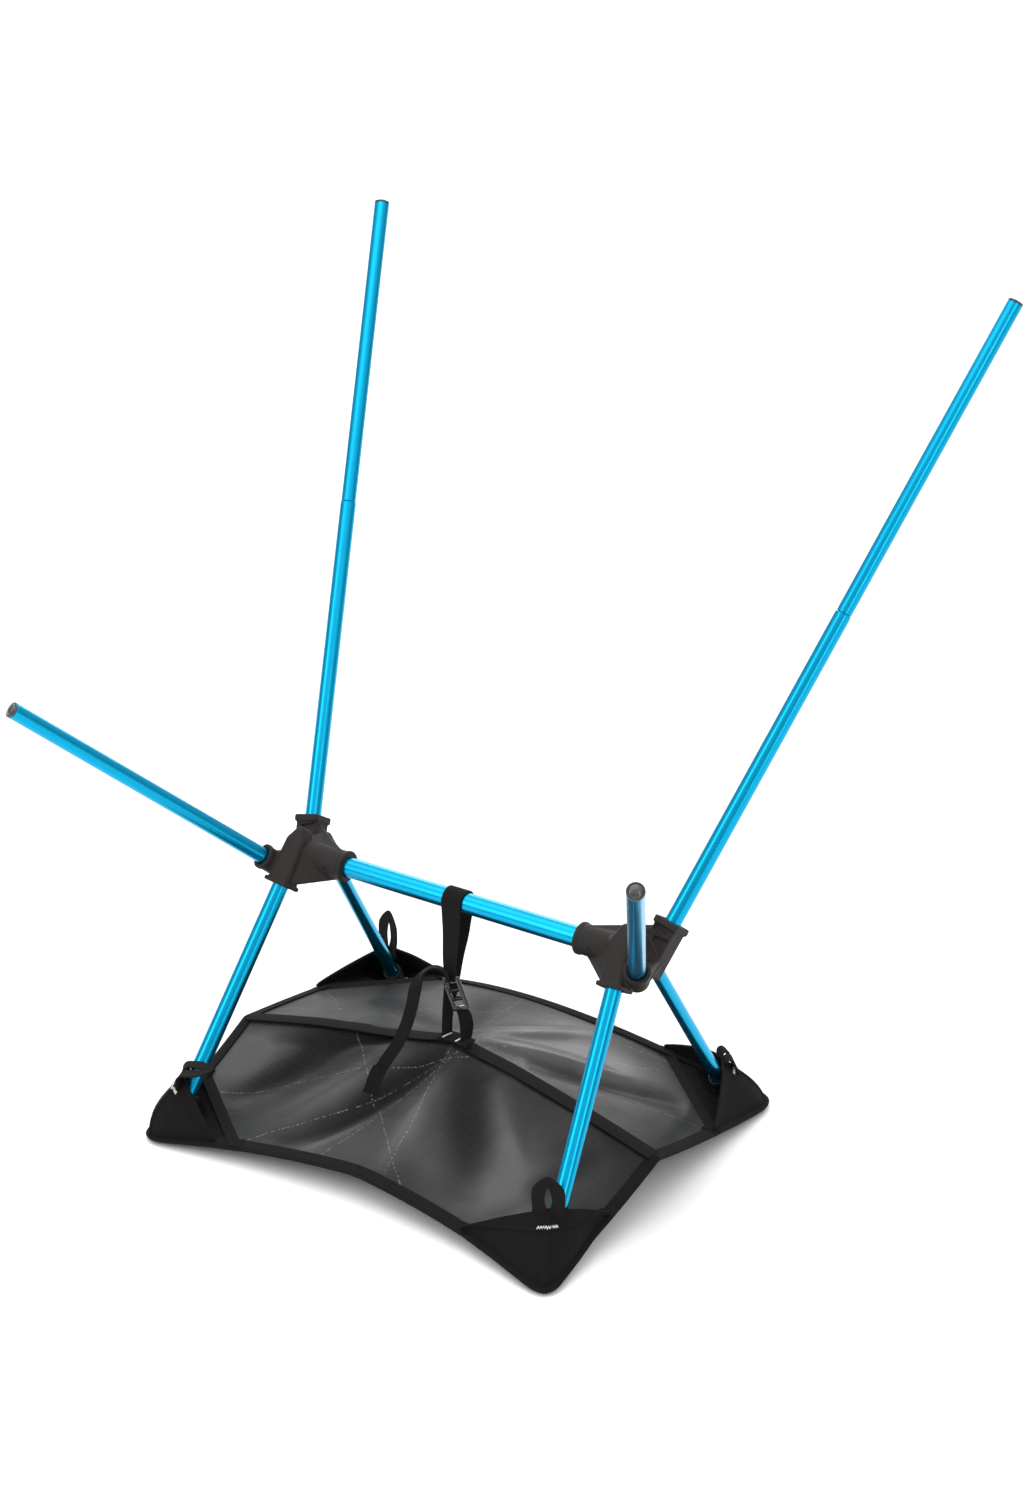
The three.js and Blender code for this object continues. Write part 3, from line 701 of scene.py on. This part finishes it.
# Soft folds: from one point in plan to another, half width and height in millimetres.
FOLDS = [
    ((-4, -26), (-70, -134), 13, -8), ((-34, -24), (-100, -128), 13, 4),
    ((-92, -30), (-146, -104), 14, -7), ((8, -28), (10, -128), 10, 3.4),
    ((20, -22), (84, -120), 14, -4.4), ((50, -30), (130, -110), 13, 4.2),
    ((-20, -10), (-150, -42), 9, -4.4), ((150, -50), (112, -124), 9, -3),
    ((16, 6), (120, 60), 10, 4.6), ((60, 10), (150, 70), 12, -6.4),
    ((-20, 4), (-120, 56), 12, -4.4), ((0, 10), (-40, 92), 10, -3.6), ((6, 12), (60, 96), 9, 3),
]
# Patches of painted sheen, a lighter cloth colour that stands for the shine where the coating is
# drawn tight, with a glossier coat there as well: place in plan, radius and share.
PAINTED_SHEEN_AND_GLOSS_PATCHES = [
    ((-164, -64), 34, 0.75), ((-42, -112), 40, 0.35), ((10, -92), 40, 0.25),
    ((104, -112), 42, 0.5), ((70, 42), 48, 0.5), ((112, 62), 34, 0.45),
    ((-60, 40), 40, 0.2), ((40, 80), 26, 0.25),
]


def mix(a, b, share):
    return a + (b - a) * share


def base_point(u, t):
    """The tight sheet in millimetres: u is -1 at the left side and 1 at the right, t is -1 at the
    front edge, 0 in the band and 1 at the rear edge."""
    front, share, across = t < 0, abs(t), abs(u)
    bulge = max(0.0, 1 - u * u)
    band_y = mix(BAND_MID_Y, BAND_END_Y, across**1.5)
    band_z = mix(MIDDLE_Z, BAND_END_Z, across**1.15)
    if front:
        half, sag = FRONT_HALF, 1.35
        bulge = 0.55 * bulge + 0.45 * (1 - math.hypot(across, 0.04))
        edge_y = mix(FRONT_CORNER_Y, FRONT_MID_Y, bulge)
        edge_z = mix(CORNER_Z, FRONT_MID_Z, bulge)
    else:
        half, sag = REAR_HALF, mix(0.6, 1.4, (u + 1) / 2)
        edge_y = mix(REAR_CORNER_Y, REAR_MID_Y, bulge**1.6)
        edge_z = mix(CORNER_Z, REAR_MID_Z, bulge**1.4)
    x = u * mix(BAND_HALF, half, share)
    return x, mix(band_y, edge_y, share), mix(edge_z, band_z, max(0.0, 1 - share) ** sag)


def fold_height(x, y):
    height = 0.0
    for (ax, ay), (bx, by), width, lift in FOLDS:
        dx, dy = bx - ax, by - ay
        run = ((x - ax) * dx + (y - ay) * dy) / (dx * dx + dy * dy)
        nearest = min(1.0, max(0.0, run))
        away = math.hypot(x - ax - dx * nearest, y - ay - dy * nearest)
        taper = math.sin(math.pi * min(1.0, max(0.0, run * 0.86 + 0.07))) ** 0.7
        height += lift * taper * math.exp(-((away / width) ** 2))
    return height


def painted_fold_light_and_gloss_at(x, y):
    """0 in the bottom of a fold, about a half on plain cloth, 1 where the coating is tight. It sets
    painted shade in the folds, painted sheen on tight cloth, and the real gloss.
    """
    # painted shade in the valleys of the folds, a little painted sheen on their ridges
    share = 0.46 + fold_height(x, y) * 0.09
    for (px, py), radius, amount in PAINTED_SHEEN_AND_GLOSS_PATCHES:
        share += amount * math.exp(-(((x - px) ** 2 + (y - py) ** 2) / radius**2))
    return min(1.0, max(0.0, share))


def sheet_point(u, t, lift=0.0):
    """A point of the sheet as it hangs, raised by lift millimetres."""
    x, y, z = base_point(u, t)
    calm = (1 - abs(u) ** 6) * (1 - abs(t) ** 6)
    return at(x, y, max(z + calm * fold_height(x, y) + lift, 0.6))


# A pocket's mouth runs from edge_u on the front or rear edge to side_t on the side. "out" is where
# its leg points in plan, "proud" how far the right and the left corner stick out, in millimetres,
# and "depth" a panel's flat depth in metres.
CORNERS = {
    "front": {
        "edge_t": -1, "edge_u": 0.57, "side_t": -0.43, "out": (0.45, -0.89),
        "proud": {1: 11, -1: 3}, "depth": 0.14,
    },
    "rear": {
        "edge_t": 1, "edge_u": 0.56, "side_t": 0.5, "out": (0.72, 0.69),
        "proud": {1: 5, -1: 3}, "depth": 0.16,
    },
}
ROUND = 0.12    # share of an edge over which the outline turns its corner
PROUD_REACH = 0.42    # share of an edge over which a corner sticks out


def outline_point(end, sign, run, inset):
    """The sheet's outline from the middle of its front or rear edge (run 0) round the corner (1) to
    the band (2), moved in by inset millimetres, with the corner rounded."""
    edge_t = CORNERS[end]["edge_t"]

    def raw(where):
        if where <= 1:
            return Vector(base_point(sign * where, edge_t))
        return Vector(base_point(sign, edge_t * (2 - where)))

    place = raw(run)
    if abs(run - 1) < ROUND:
        share = (run - 1 + ROUND) / (2 * ROUND)
        before, after = raw(1 - ROUND), raw(1 + ROUND)
        place = before.lerp(raw(1), share).lerp(raw(1).lerp(after, share), share)
    ahead, behind = raw(min(2.0, run + 0.07)), raw(max(0.0, run - 0.07))
    along = (ahead - behind).to_2d().normalized()
    inwards = Vector((-along.y, along.x)) * (-sign * edge_t)
    proud = CORNERS[end]["proud"][sign] * max(0.0, 1 - abs(run - 1) / PROUD_REACH)
    move = inwards * inset + Vector((sign * 0.72, edge_t * 0.69)) * proud
    return place.x + move.x, place.y + move.y, place.z


def mouth_line(end, sign):
    """The two ends of a pocket's mouth on the sheet's outline, in plan."""
    plan = CORNERS[end]
    return base_point(sign * plan["edge_u"], plan["edge_t"]), base_point(sign, plan["side_t"])


def mouth_runs(end):
    """The mouth's ends as runs of the outline."""
    plan = CORNERS[end]
    return plan["edge_u"], 1 + (1 - abs(plan["side_t"]))


BLEND_REACH = 0.036    # how far inside the mouth blend_to_leg's span towards the foot starts, in metres


def blend_to_leg(piece, end, side):
    """Works out a span from just inside the pocket's mouth towards the foot, and bakes the piece's
    place into its mesh; the cloth itself stays with the frame.
    """
    sign = SIDES[side]
    first, last = mouth_line(end, sign)
    across, along = CORNERS[end]["out"]
    out = Vector((sign * across, along, 0)).normalized()
    reach = min(Vector(at(*first)).dot(out), Vector(at(*last)).dot(out))
    origin = at(0, 0, 0)
    base = origin - out * origin.dot(out)
    start, stop = base + out * (reach - BLEND_REACH), base + out * (reach - 0.001)
    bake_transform(piece)
    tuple(start)
    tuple(stop)


PANEL_REACH = 0.985    # the panels and the band end just inside the outline's tape


def add_panel(end, side):
    """A quarter of the sheet, with its UV laid in plan so that the creases run across the join."""
    sign = SIDES[side]
    edge_t, depth = CORNERS[end]["edge_t"], CORNERS[end]["depth"]

    def point_at(a, b):
        return sheet_point(sign * a * PANEL_REACH, edge_t * b * PANEL_REACH)

    piece = formed_sheet(72, 56, point_at, (0.19, depth), 0)
    layer = piece.data.uv_layers.active.data
    for loop in piece.data.loops:
        co = piece.data.vertices[loop.vertex_index].co
        layer[loop.index].uv = (co.x, co.y - bar_centre.y)
    cut_at_mouth(piece, end, sign)
    edit(piece, face_out)
    if sum(polygon.normal.z * polygon.area for polygon in piece.data.polygons) < 0:
        piece.data.flip_normals()
    # the share of painted shade and painted sheen in the cloth's colour, which also sets its gloss
    painted_fold_light_and_gloss = piece.data.attributes.new("painted_fold_light_and_gloss", "FLOAT", "POINT")
    for vertex, mark in zip(piece.data.vertices, painted_fold_light_and_gloss.data):
        mark.value = painted_fold_light_and_gloss_at(vertex.co.x / MM, (vertex.co.y - bar_centre.y) / MM)
    apply_modifier(piece, "SOLIDIFY", thickness=0.5 * MM, offset=0)
    smooth(piece, 60)
    name, node = f"ground_sheet_{end}_{side}", f"sheet_{end}_panel"
    finish_piece(piece, name, sheet_grey, node)
    blend_to_leg(piece, end, side)


def cut_at_mouth(piece, end, sign):
    """Trims the cloth along the pocket's mouth, where the pocket takes over."""
    first, last = (at(*point) for point in mouth_line(end, sign))
    along = last - first
    normal = Vector((along.y, -along.x, 0)).normalized()
    if normal.x * sign < 0:
        normal.negate()
    overlap = 4 * MM

    def trim():
        bpy.ops.mesh.bisect(
            plane_co=first + normal * overlap, plane_no=normal, clear_outer=True
        )

    edit(piece, trim)


def taped_edge(end, sign, low, high, steps, width, thickness):
    """Binding folded over the sheet's edge from one run of the outline to another."""

    def point_at(a, b):
        run, inwards = mix(low, high, a), b * width
        x, y, z = outline_point(end, sign, run, -2.5 + inwards)
        roll = 1.2 * (1 - min(1.0, b * 4)) ** 2
        return at(x, y, max(z + edge_rise(end, sign, run, inwards) - roll, 1.3))

    return formed_sheet(steps, 6, point_at, (0.187 * (high - low), width * MM), thickness * MM)


def edge_rise(end, sign, run, inwards):
    """How much the cloth has risen this many millimetres in from its edge."""
    edge_t = CORNERS[end]["edge_t"]
    share = inwards / 150
    if run <= 1:
        inner = base_point(sign * run, edge_t * (1 - share))
        outer = base_point(sign * run, edge_t)
    else:
        inner = base_point(sign * (1 - share * 0.8), edge_t * (2 - run))
        outer = base_point(sign, edge_t * (2 - run))
    corner = min(1.0, abs(run - 1) / 0.25)
    return (inner[2] - outer[2]) * corner


EDGE_THICK = 1.9    # tape folded double, in millimetres


def add_bindings(end, side):
    sign = SIDES[side]
    first, last = mouth_runs(end)
    edge = taped_edge(end, sign, 0, first + 0.02, 40, 10.5, EDGE_THICK)
    finish_piece(edge, f"{end}_binding_{side}", tape_black, f"{end}_binding")
    flank = taped_edge(end, sign, last - 0.02, 2, 36, 9.0, EDGE_THICK)
    name, node = f"side_binding_{end}_{side}", f"side_binding_{side}"
    finish_piece(flank, name, tape_black, node)
    for tape in (edge, flank):
        blend_to_leg(tape, end, side)


def add_band():
    """The tape sewn across the sheet's join, from edge to edge."""
    half, lift, droop = 6.2, 0.9, 0.6

    def point_at(a, b):
        place = sheet_point(mix(-PANEL_REACH, PANEL_REACH, a), 0, lift)
        return place + Vector((0, mix(-half, half, b) * MM, -abs(b - 0.5) * droop * MM))

    band = formed_sheet(90, 6, point_at, (0.38, 2 * half * MM), 0.9 * MM)
    finish_piece(band, "join_tape", tape_black, "middle_band", "root")


# ---- Corner pockets ----
# Each hem's peak, in millimetres up the leg from the foot, then across and along from the leg.
# "straight" is how straight the hem runs to the mouth's ends, "full" how far the cover swells in
# millimetres, and "start" where on the front or rear edge it is sewn down.
HEMS = {
    ("front", "right"): {"peak": (37, 1, -13), "straight": 0.7, "full": 3, "start": 0.57},
    ("front", "left"): {"peak": (39, -3, -13), "straight": 0.6, "full": 8, "start": 0.68},
    ("rear", "right"): {"peak": (31, -1, 13), "straight": 0.6, "full": 5, "start": 0.56},
    ("rear", "left"): {"peak": (38, -9, 13), "straight": 0.8, "full": 3, "start": 0.56},
}


def pocket_shape(end, side):
    """The leg's foot, the hem's peak, the mouth's two ends, and the hem's sewn end and control
    point, in metres."""
    sign, form = SIDES[side], HEMS[end, side]
    near, direction, length, _ = round_node(f"{end}_leg_{side}")
    foot = near + direction * length
    up_leg, across, along = form["peak"]
    peak = foot - direction * up_leg * MM + Vector((across, along, 0)) * MM
    first, last = (at(*point) for point in mouth_line(end, sign))
    sewn = at(*base_point(sign * form["start"], CORNERS[end]["edge_t"]))
    control = peak * 2 - sewn * 0.5 - last * 0.5
    return {
        "foot": foot, "peak": peak, "first": first, "last": last, "sewn": sewn, "control": control
    }


POCKETS = {(end, side): pocket_shape(end, side) for end in CORNERS for side in SIDES}


def pocket_edge(end, sign, share, low_run):
    """A point of the pocket's foot, just inside the sheet's rounded outline."""
    _, high_run = mouth_runs(end)
    run = mix(low_run, 1, share * 2) if share <= 0.5 else mix(1, high_run, share * 2 - 1)
    return at(*outline_point(end, sign, run, 2.0))


def cover_point(end, side, share, rise, proud=0.0):
    """The pocket's cover: from the sheet's edge (rise 0) up to its arched hem (rise 1)."""
    shape, form = POCKETS[end, side], HEMS[end, side]
    sewn, control, last = shape["sewn"], shape["control"], shape["last"]
    low = pocket_edge(end, SIDES[side], share, form["start"])
    low.z = max(low.z - 0.6 * MM, 0.8 * MM)
    keep = 1 - share
    hem = sewn * keep * keep + control * 2 * keep * share + last * share * share
    peak = (sewn + control * 2 + last) / 4
    straight = sewn.lerp(peak, share * 2) if share < 0.5 else peak.lerp(last, share * 2 - 1)
    hem = hem.lerp(straight, form["straight"])
    hem.z += 4 * MM
    outwards = low - shape["foot"]
    outwards.z = 0
    outwards.normalize()
    full = form["full"] * math.sin(math.pi * share)
    swell = full * math.sin(math.pi * min(1, rise * 1.15)) + 1.0 + proud
    seam = 1.5 * math.exp(-(((share - 0.5) / 0.014) ** 2)) * min(1.0, (1 - rise) * 4)
    return low.lerp(hem, rise) + outwards * (swell + seam) * MM


def on_sheet(place, end):
    """The point of the hanging sheet straight above or below a place in plan."""
    x, y = place.x / MM, (place.y - bar_centre.y) / MM
    edge_t = CORNERS[end]["edge_t"]
    u = x / REAR_HALF
    for _ in range(12):
        edge_y, middle_y = base_point(u, edge_t)[1], base_point(u, 0)[1]
        share = min(1.0, max(0.0, (y - middle_y) / (edge_y - middle_y)))
        u = min(1.0, max(-1.0, x / base_point(1, edge_t * share)[0]))
    return sheet_point(u, edge_t * share)


def add_pocket(end, side):
    """A corner pocket: cover and hem over the foot, a floor under it, tape across the mouth and a
    thick lip round the corner."""
    sign, body = SIDES[side], f"{end}_leg_{side}"
    foot, first, last = (POCKETS[end, side][key] for key in ("foot", "first", "last"))
    low_run, high_run = mouth_runs(end)
    outwards = Vector((*((first + last) / 2 - at(0, 0, 0)).to_2d().normalized(), 0))
    flat_radius = 24 * MM

    def cover_at(a, b):
        return cover_point(end, side, a, b)

    def hem_at(a, b):
        return cover_point(end, side, mix(0.015, 0.985, a), mix(0.76, 1.04, b), 0.5)

    def mouth_line_at(a):
        return on_sheet(first.lerp(last, a), end)

    def floor_at(a, b):
        """Flat round the foot and eased up to the sheet at the mouth."""
        place = pocket_edge(end, sign, a, low_run).lerp(mouth_line_at(a), b * 1.03)
        flat = min(1.0, (place - foot).to_2d().length / flat_radius)
        ease = max(0.0, (b - 0.55) / 0.45) ** 2
        place.z = max(place.z * mix(flat * flat, 1, ease), 1.0 * MM)
        return place

    def mouth_at(a, b):
        line = mouth_line_at(a)
        line.z += 1.1 * MM
        return line + outwards * mix(-4.5, 4.5, b) * MM

    pocket = joined([
        formed_sheet(96, 18, cover_at, (0.15, 0.045), 1.1 * MM),
        formed_sheet(64, 5, hem_at, (0.15, 0.011), 1.9 * MM),
        formed_sheet(40, 16, floor_at, (0.12, 0.06), 0.9 * MM),
        formed_sheet(48, 4, mouth_at, (0.11, 0.009), 1.2 * MM),
        taped_edge(end, sign, low_run - 0.02, high_run + 0.02, 72, 11.0, 2.8),
    ])
    name, node = f"{end}_corner_pocket_{side}", f"{end}_pocket_{side}"
    finish_piece(pocket, name, pocket_cloth, node, body)
    add_bartack(end, side, body)
    add_loop(end, side, body)


def add_bartack(end, side, body):
    """A short pale zigzag of thread that holds the loop to the hem."""
    width, hem_length, stitches = 20, 150, 18
    route = []
    for step in range(stitches + 1):
        share = 0.5 + (step / stitches - 0.5) * width / hem_length
        route.append(cover_point(end, side, share, 0.80 + 0.035 * (step % 2), 1.7))

    def point_at(a, b):
        place = min(stitches - 1e-6, a * stitches)
        index = int(place)
        start, stop = route[index], route[index + 1]
        return start.lerp(stop, place - index) + Vector((0, 0, mix(-0.45, 0.45, b) * MM))

    tack = formed_sheet(stitches * 3, 2, point_at, (0.017, 0.001), 0.6 * MM)
    finish_piece(tack, f"{end}_bartack_{side}", thread_white, body=body)


# How far each corner's loop tips outwards and is turned, in radians, and its drift to the side.
LOOPS = {
    ("front", "right"): (0.12, 0.45, 0.0), ("front", "left"): (1.35, -2.0, -0.3),
    ("rear", "right"): (2.75, 0.75, 0.0), ("rear", "left"): (0.1, -0.3, -0.15),
}
LOOP_BEND = 8    # length of tape over which a loop tips, in millimetres
# The folded loop's two edges in millimetres, across and up from the hem. The eye is a narrow slit.
LOOP_OUTSIDE = [
    (-11.5, -7), (-11.6, 1), (-12, 12), (-11, 20), (-5.5, 27.5), (0, 31),
    (5.5, 27.5), (11, 20), (12, 12), (11.6, 1), (11.5, -7),
]
LOOP_EYE = [
    (-1.2, -7), (-1.2, 1), (-2.6, 8), (-2.5, 13), (-1.3, 19), (0, 22),
    (1.3, 19), (2.5, 13), (2.6, 8), (1.2, 1), (1.2, -7),
]


def on_curve(points, share):
    """A point and direction on a smooth curve through the given points."""
    count = len(points) - 1
    place = min(count - 1e-6, max(0.0, share * count))
    index = int(place)
    s = place - index
    p = [points[min(count, max(0, index + k))] for k in (-1, 0, 1, 2)]
    linear = p[2] - p[0]
    square = 2 * p[0] - 5 * p[1] + 4 * p[2] - p[3]
    cubic = 3 * p[1] - p[0] - 3 * p[2] + p[3]
    spot = (2 * p[1] + linear * s + square * s * s + cubic * s**3) / 2
    return spot, (linear + square * 2 * s + cubic * 3 * s * s) / 2


def add_loop(end, side, body):
    """Folded tape loop on the hem, its two legs side by side and its head folded to a point."""
    peak = POCKETS[end, side]["peak"]
    tip, turn, slant = LOOPS[end, side]
    facing = CORNERS[end]["edge_t"]
    outside = [Vector((x, z, 0)) for x, z in LOOP_OUTSIDE]
    eye = [Vector((x, z, 0)) for x, z in LOOP_EYE]
    place = (
        Matrix.Translation(peak + Vector((0, facing * 2.4 * MM, 4.2 * MM)))
        @ Matrix.Rotation(SIDES[side] * facing * -turn, 4, "Z")
    )

    def point_at(a, b):
        spot = on_curve(eye, a)[0].lerp(on_curve(outside, a)[0], b)
        height = max(0.0, spot.y)
        bent, straight = min(height, LOOP_BEND), max(0.0, height - LOOP_BEND)
        angle = tip * bent / LOOP_BEND
        radius = LOOP_BEND / tip
        out = radius * (1 - math.cos(angle)) + straight * math.sin(angle)
        up = radius * math.sin(angle) + straight * math.cos(angle) + min(0.0, spot.y)
        # the tape's legs overlap, and it is cupped
        out = out + 0.9 * a * min(1.0, height / 20) - 0.01 * spot.x**2
        return place @ Vector(((spot.x + slant * straight) * MM, facing * out * MM, up * MM))

    loop = formed_sheet(80, 8, point_at, (0.075, 0.010), 1.3 * MM)
    name, node = f"{end}_tape_loop_{side}", f"{end}_pull_loop_{side}"
    finish_piece(loop, name, strap_black, node, body)


# ---- Tie strap ----
def run_length(points):
    return sum((b - a).length for a, b in zip(points, points[1:]))


def tape_along(stations, steps, thickness, columns=6):
    """Flat tape through stations of (point, direction across, width), in millimetres."""
    points = [Vector(point) for point, _, _ in stations]
    across = [Vector(direction) for _, direction, _ in stations]
    widths = [Vector((width, 0, 0)) for _, _, width in stations]

    def point_at(a, b):
        spot, wide, width = (on_curve(track, a)[0] for track in (points, across, widths))
        return at(*(spot + wide.normalized() * (b - 0.5) * width.x))

    size = (run_length(points) * MM, stations[0][2] * MM)
    return formed_sheet(steps, columns, point_at, size, thickness * MM)


def turned_stations(rows):
    """Stations from rows of x, y, z, turn in plan in radians, and width."""
    return [
        ((x, y, z), (math.cos(turn), math.sin(turn), 0), width) for x, y, z, turn, width in rows
    ]


STRAP_THICK = 1.4
STRAP_REAR = [
    (-5.4, -13, 78.6, 1.45, 10.5), (-5.2, -12, 95, 1.35, 10.5), (-5, -7, 118, 0.9, 11.5),
    (-5, -2, 140, 0.5, 13.5), (-4.5, 4, 160, 0.2, 15.5),
]
BUCKLE_TAPE = [
    (12.6, -13.5, 78.6, 1.4, 10.5), (13.4, -13.6, 90, 1.0, 10.5), (12.6, -14.4, 99, 0.6, 10.5),
    (10.6, -15.2, 105, 0.3, 10.5),
]
PATCH = [(x, -13.8, z) for x, z in ((-10, 76.8), (3.5, 77.4), (17, 76.2))]


def add_tie_strap():
    """The strap up from the sheet's patch, over the crossbar and down to the buckle, and the short
    tape below the buckle."""
    wrap = bar_radius / MM + 1.05
    over = []
    for step in range(9):
        angle = step / 8 * math.pi
        y, z = wrap * math.cos(angle), bar_centre.z / MM + wrap * math.sin(angle)
        over.append((-3.5, y, z, 0, 17))
    front = [
        (-3.2, -wrap - 0.6, 165, 0, 14.5), (-2.6, -wrap - 3, 146, 0, 12.5),
        (-1.4, -wrap - 5, 134.5, 0, 11), (1.2, -wrap - 5.6, 127, 0.1, 10.5),
    ]
    strap = tape_along(turned_stations([*STRAP_REAR, *over, *front]), 150, STRAP_THICK)
    finish_piece(strap, "hanging_strap", strap_black, "tie_strap", "root")
    short = tape_along(turned_stations(BUCKLE_TAPE), 30, STRAP_THICK)
    finish_piece(short, "buckle_tape", strap_black, "buckle_strap", "root")
    patch = tape_along([(place, (0, 1, 0.05), 13) for place in PATCH], 24, STRAP_THICK)
    finish_piece(patch, "anchor_patch", tape_black, "strap_anchor", "root")
    for name, x in (("left", -3.7), ("right", 8.2)):
        places = [(x - 1.2, -19.4, 78.3, 1.0), (x, -15, 78.7, 1.1), (x + 1.0, -10.5, 78.3, 1.0)]
        tack = tape_along([(place, (1, 0.2, 0), width) for *place, width in places], 14, 0.6, 2)
        finish_piece(tack, f"anchor_bartack_{name}", thread_white, body="root")


def add_buckle():
    """A ladder buckle: two rails and four bars, rounded all over."""
    half, reach = 7.5, 13.5
    # x, z, width, height, depth and tilt of each
    bars = [
        (1.1 - half, 0, 2.2, reach * 2 - 2, 4.0, 0), (half - 1.1, 0, 2.2, reach * 2 - 2, 4.0, 0),
        (0, 1.6 - reach, half * 2 - 1, 3.2, 4.0, 0), (0, -4.2, half * 2 - 2, 2.6, 3.0, 0.25),
        (0, 2.7, half * 2 - 2, 3.0, 3.0, 0.25), (0, 10.6, half * 2 - 1, 5.0, 3.2, -0.3),
    ]
    buckle = joined([
        block((x, 0, z), (width, depth, height), 0.6, tilt)
        for x, z, width, height, depth, tilt in bars
    ])
    apply_modifier(buckle, "REMESH", mode="VOXEL", voxel_size=0.3 * MM)
    apply_modifier(buckle, "SMOOTH", factor=0.5, iterations=3)
    place_in(buckle, Matrix.Translation(at(5, -15.5, 117)) @ Matrix.Rotation(-0.42, 4, "Y"))
    smooth(buckle, 60)
    finish_piece(buckle, "ladder_buckle", buckle_black, "buckle", "root")


TAIL = [
    (1.0, -17.6, 127), (-2.2, -19, 135), (-8.7, -21, 137.7), (-14.6, -24, 135.9),
    (-18.8, -28, 130.1), (-20.3, -33, 120.8), (-18.4, -40, 110.8), (-17.9, -48, 98.5),
    (-19.6, -57, 86), (-24, -65, 74.5), (-28, -72, 63.5), (-29.5, -79, 49),
]


def add_tail():
    """The strap's loose end: it leaves the buckle on edge, turns flat and hangs to a folded tip."""
    curve = [Vector(point) for point in TAIL]
    stations = []
    for index in range(33):
        spot, slope = on_curve(curve, index / 32)
        along = slope.normalized()
        flat = along.cross(back).normalized()
        edgewise = along.cross(flat)
        twist = min(1.0, max(0.0, (index / 32 - 0.3) / 0.25))
        share = twist * twist * (3 - 2 * twist)
        stations.append((spot, edgewise.lerp(flat, 0.12 + 0.88 * share), mix(10.5, 9.4, share)))
    strap = tape_along(stations, 110, 1.3)
    proud = Vector((0.3, -1.3, 0.8))
    folded = [(spot + proud, across, 11.4) for spot, across, _ in stations[-5:]]
    strap = joined([strap, tape_along(folded, 24, 1.6)])
    finish_piece(strap, "strap_loose_end", strap_black, "strap_tail", "root")
    route = [at(*spot) for spot, _, _ in stations]


# ---- Floor and light ----
def add_floor():
    floor = primitive("plane", size=200)
    floor.name = "floor"
    finish = Finish("floor_white", Roughness=0.9)
    speck = finish.noise(finish.object(), 3.0, 2.0)
    floor.data.materials.append(
        finish.set(Base_Color=finish.mix(speck, (0.93, 0.93, 0.93), (0.96, 0.96, 0.96)))
    )


def add_light(name, place, target, size, power):
    lamp = bpy.data.lights.new(name, "AREA")
    lamp.shape = "RECTANGLE"
    lamp.size, lamp.size_y = size
    lamp.energy = power
    light = bpy.data.objects.new(name, lamp)
    bpy.context.scene.collection.objects.link(light)
    light.location = place
    aim = Vector(target) - Vector(place)
    light.rotation_euler = aim.to_track_quat("-Z", "Y").to_euler()


def add_lights():
    """A studio that is bright overhead and falls off to the sides, with a soft key and back light.
    At the skyline, where the floor ends, it is as white as the floor."""
    world = bpy.data.worlds.new("studio")
    bpy.context.scene.world = world
    sky = Nodes(world)
    height = sky.split(sky.node("ShaderNodeTexCoord", output="Generated"))[2]
    fall = {"Value": height, "From Min": 0, "From Max": 0.9, "To Min": 0.22, "To Max": 1.4}
    strength = (height < 0.03).math("MAXIMUM", sky.node("ShaderNodeMapRange", inputs=fall))
    background = world.node_tree.nodes["Background"]
    sky.feed(background.inputs["Strength"], strength)
    sky.feed(background.inputs["Color"], (1, 1, 1, 1))
    add_light("overhead", (-0.3, -0.3, 2.4), (0, 0, 0.1), (2.4, 2.4), 20)
    add_light("key", (-1.2, -2.3, 1.5), (0, 0, 0.25), (1.0, 1.8), 15)
    add_light("right strip", (2.2, -1.0, 1.2), (0, 0, 0.3), (0.5, 1.8), 9)
    add_light("back", (-1.5, 2.2, 1.3), (0, 0, 0.1), (2.6, 1.2), 26)
    bpy.context.scene.view_settings.view_transform = "Standard"


# ---- Assembly ----
add_crossbar()
for side in SIDES:
    add_poles(side)
add_hubs()
for end in CORNERS:
    for side in SIDES:
        add_panel(end, side)
        add_bindings(end, side)
        add_pocket(end, side)
add_band()
add_tie_strap()
add_buckle()
add_tail()

# The CAD nodes that no piece replaces, by the start of their names.
kept_nodes = {"shock_cord": cord_braid, "hub_pin": pin_steel, "back_ferrule": bar_blue}
for name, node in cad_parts.items():
    for start, material in kept_nodes.items():
        if name.startswith(start):
            node.data.materials.clear()
            node.data.materials.append(material)

add_floor()
add_lights()
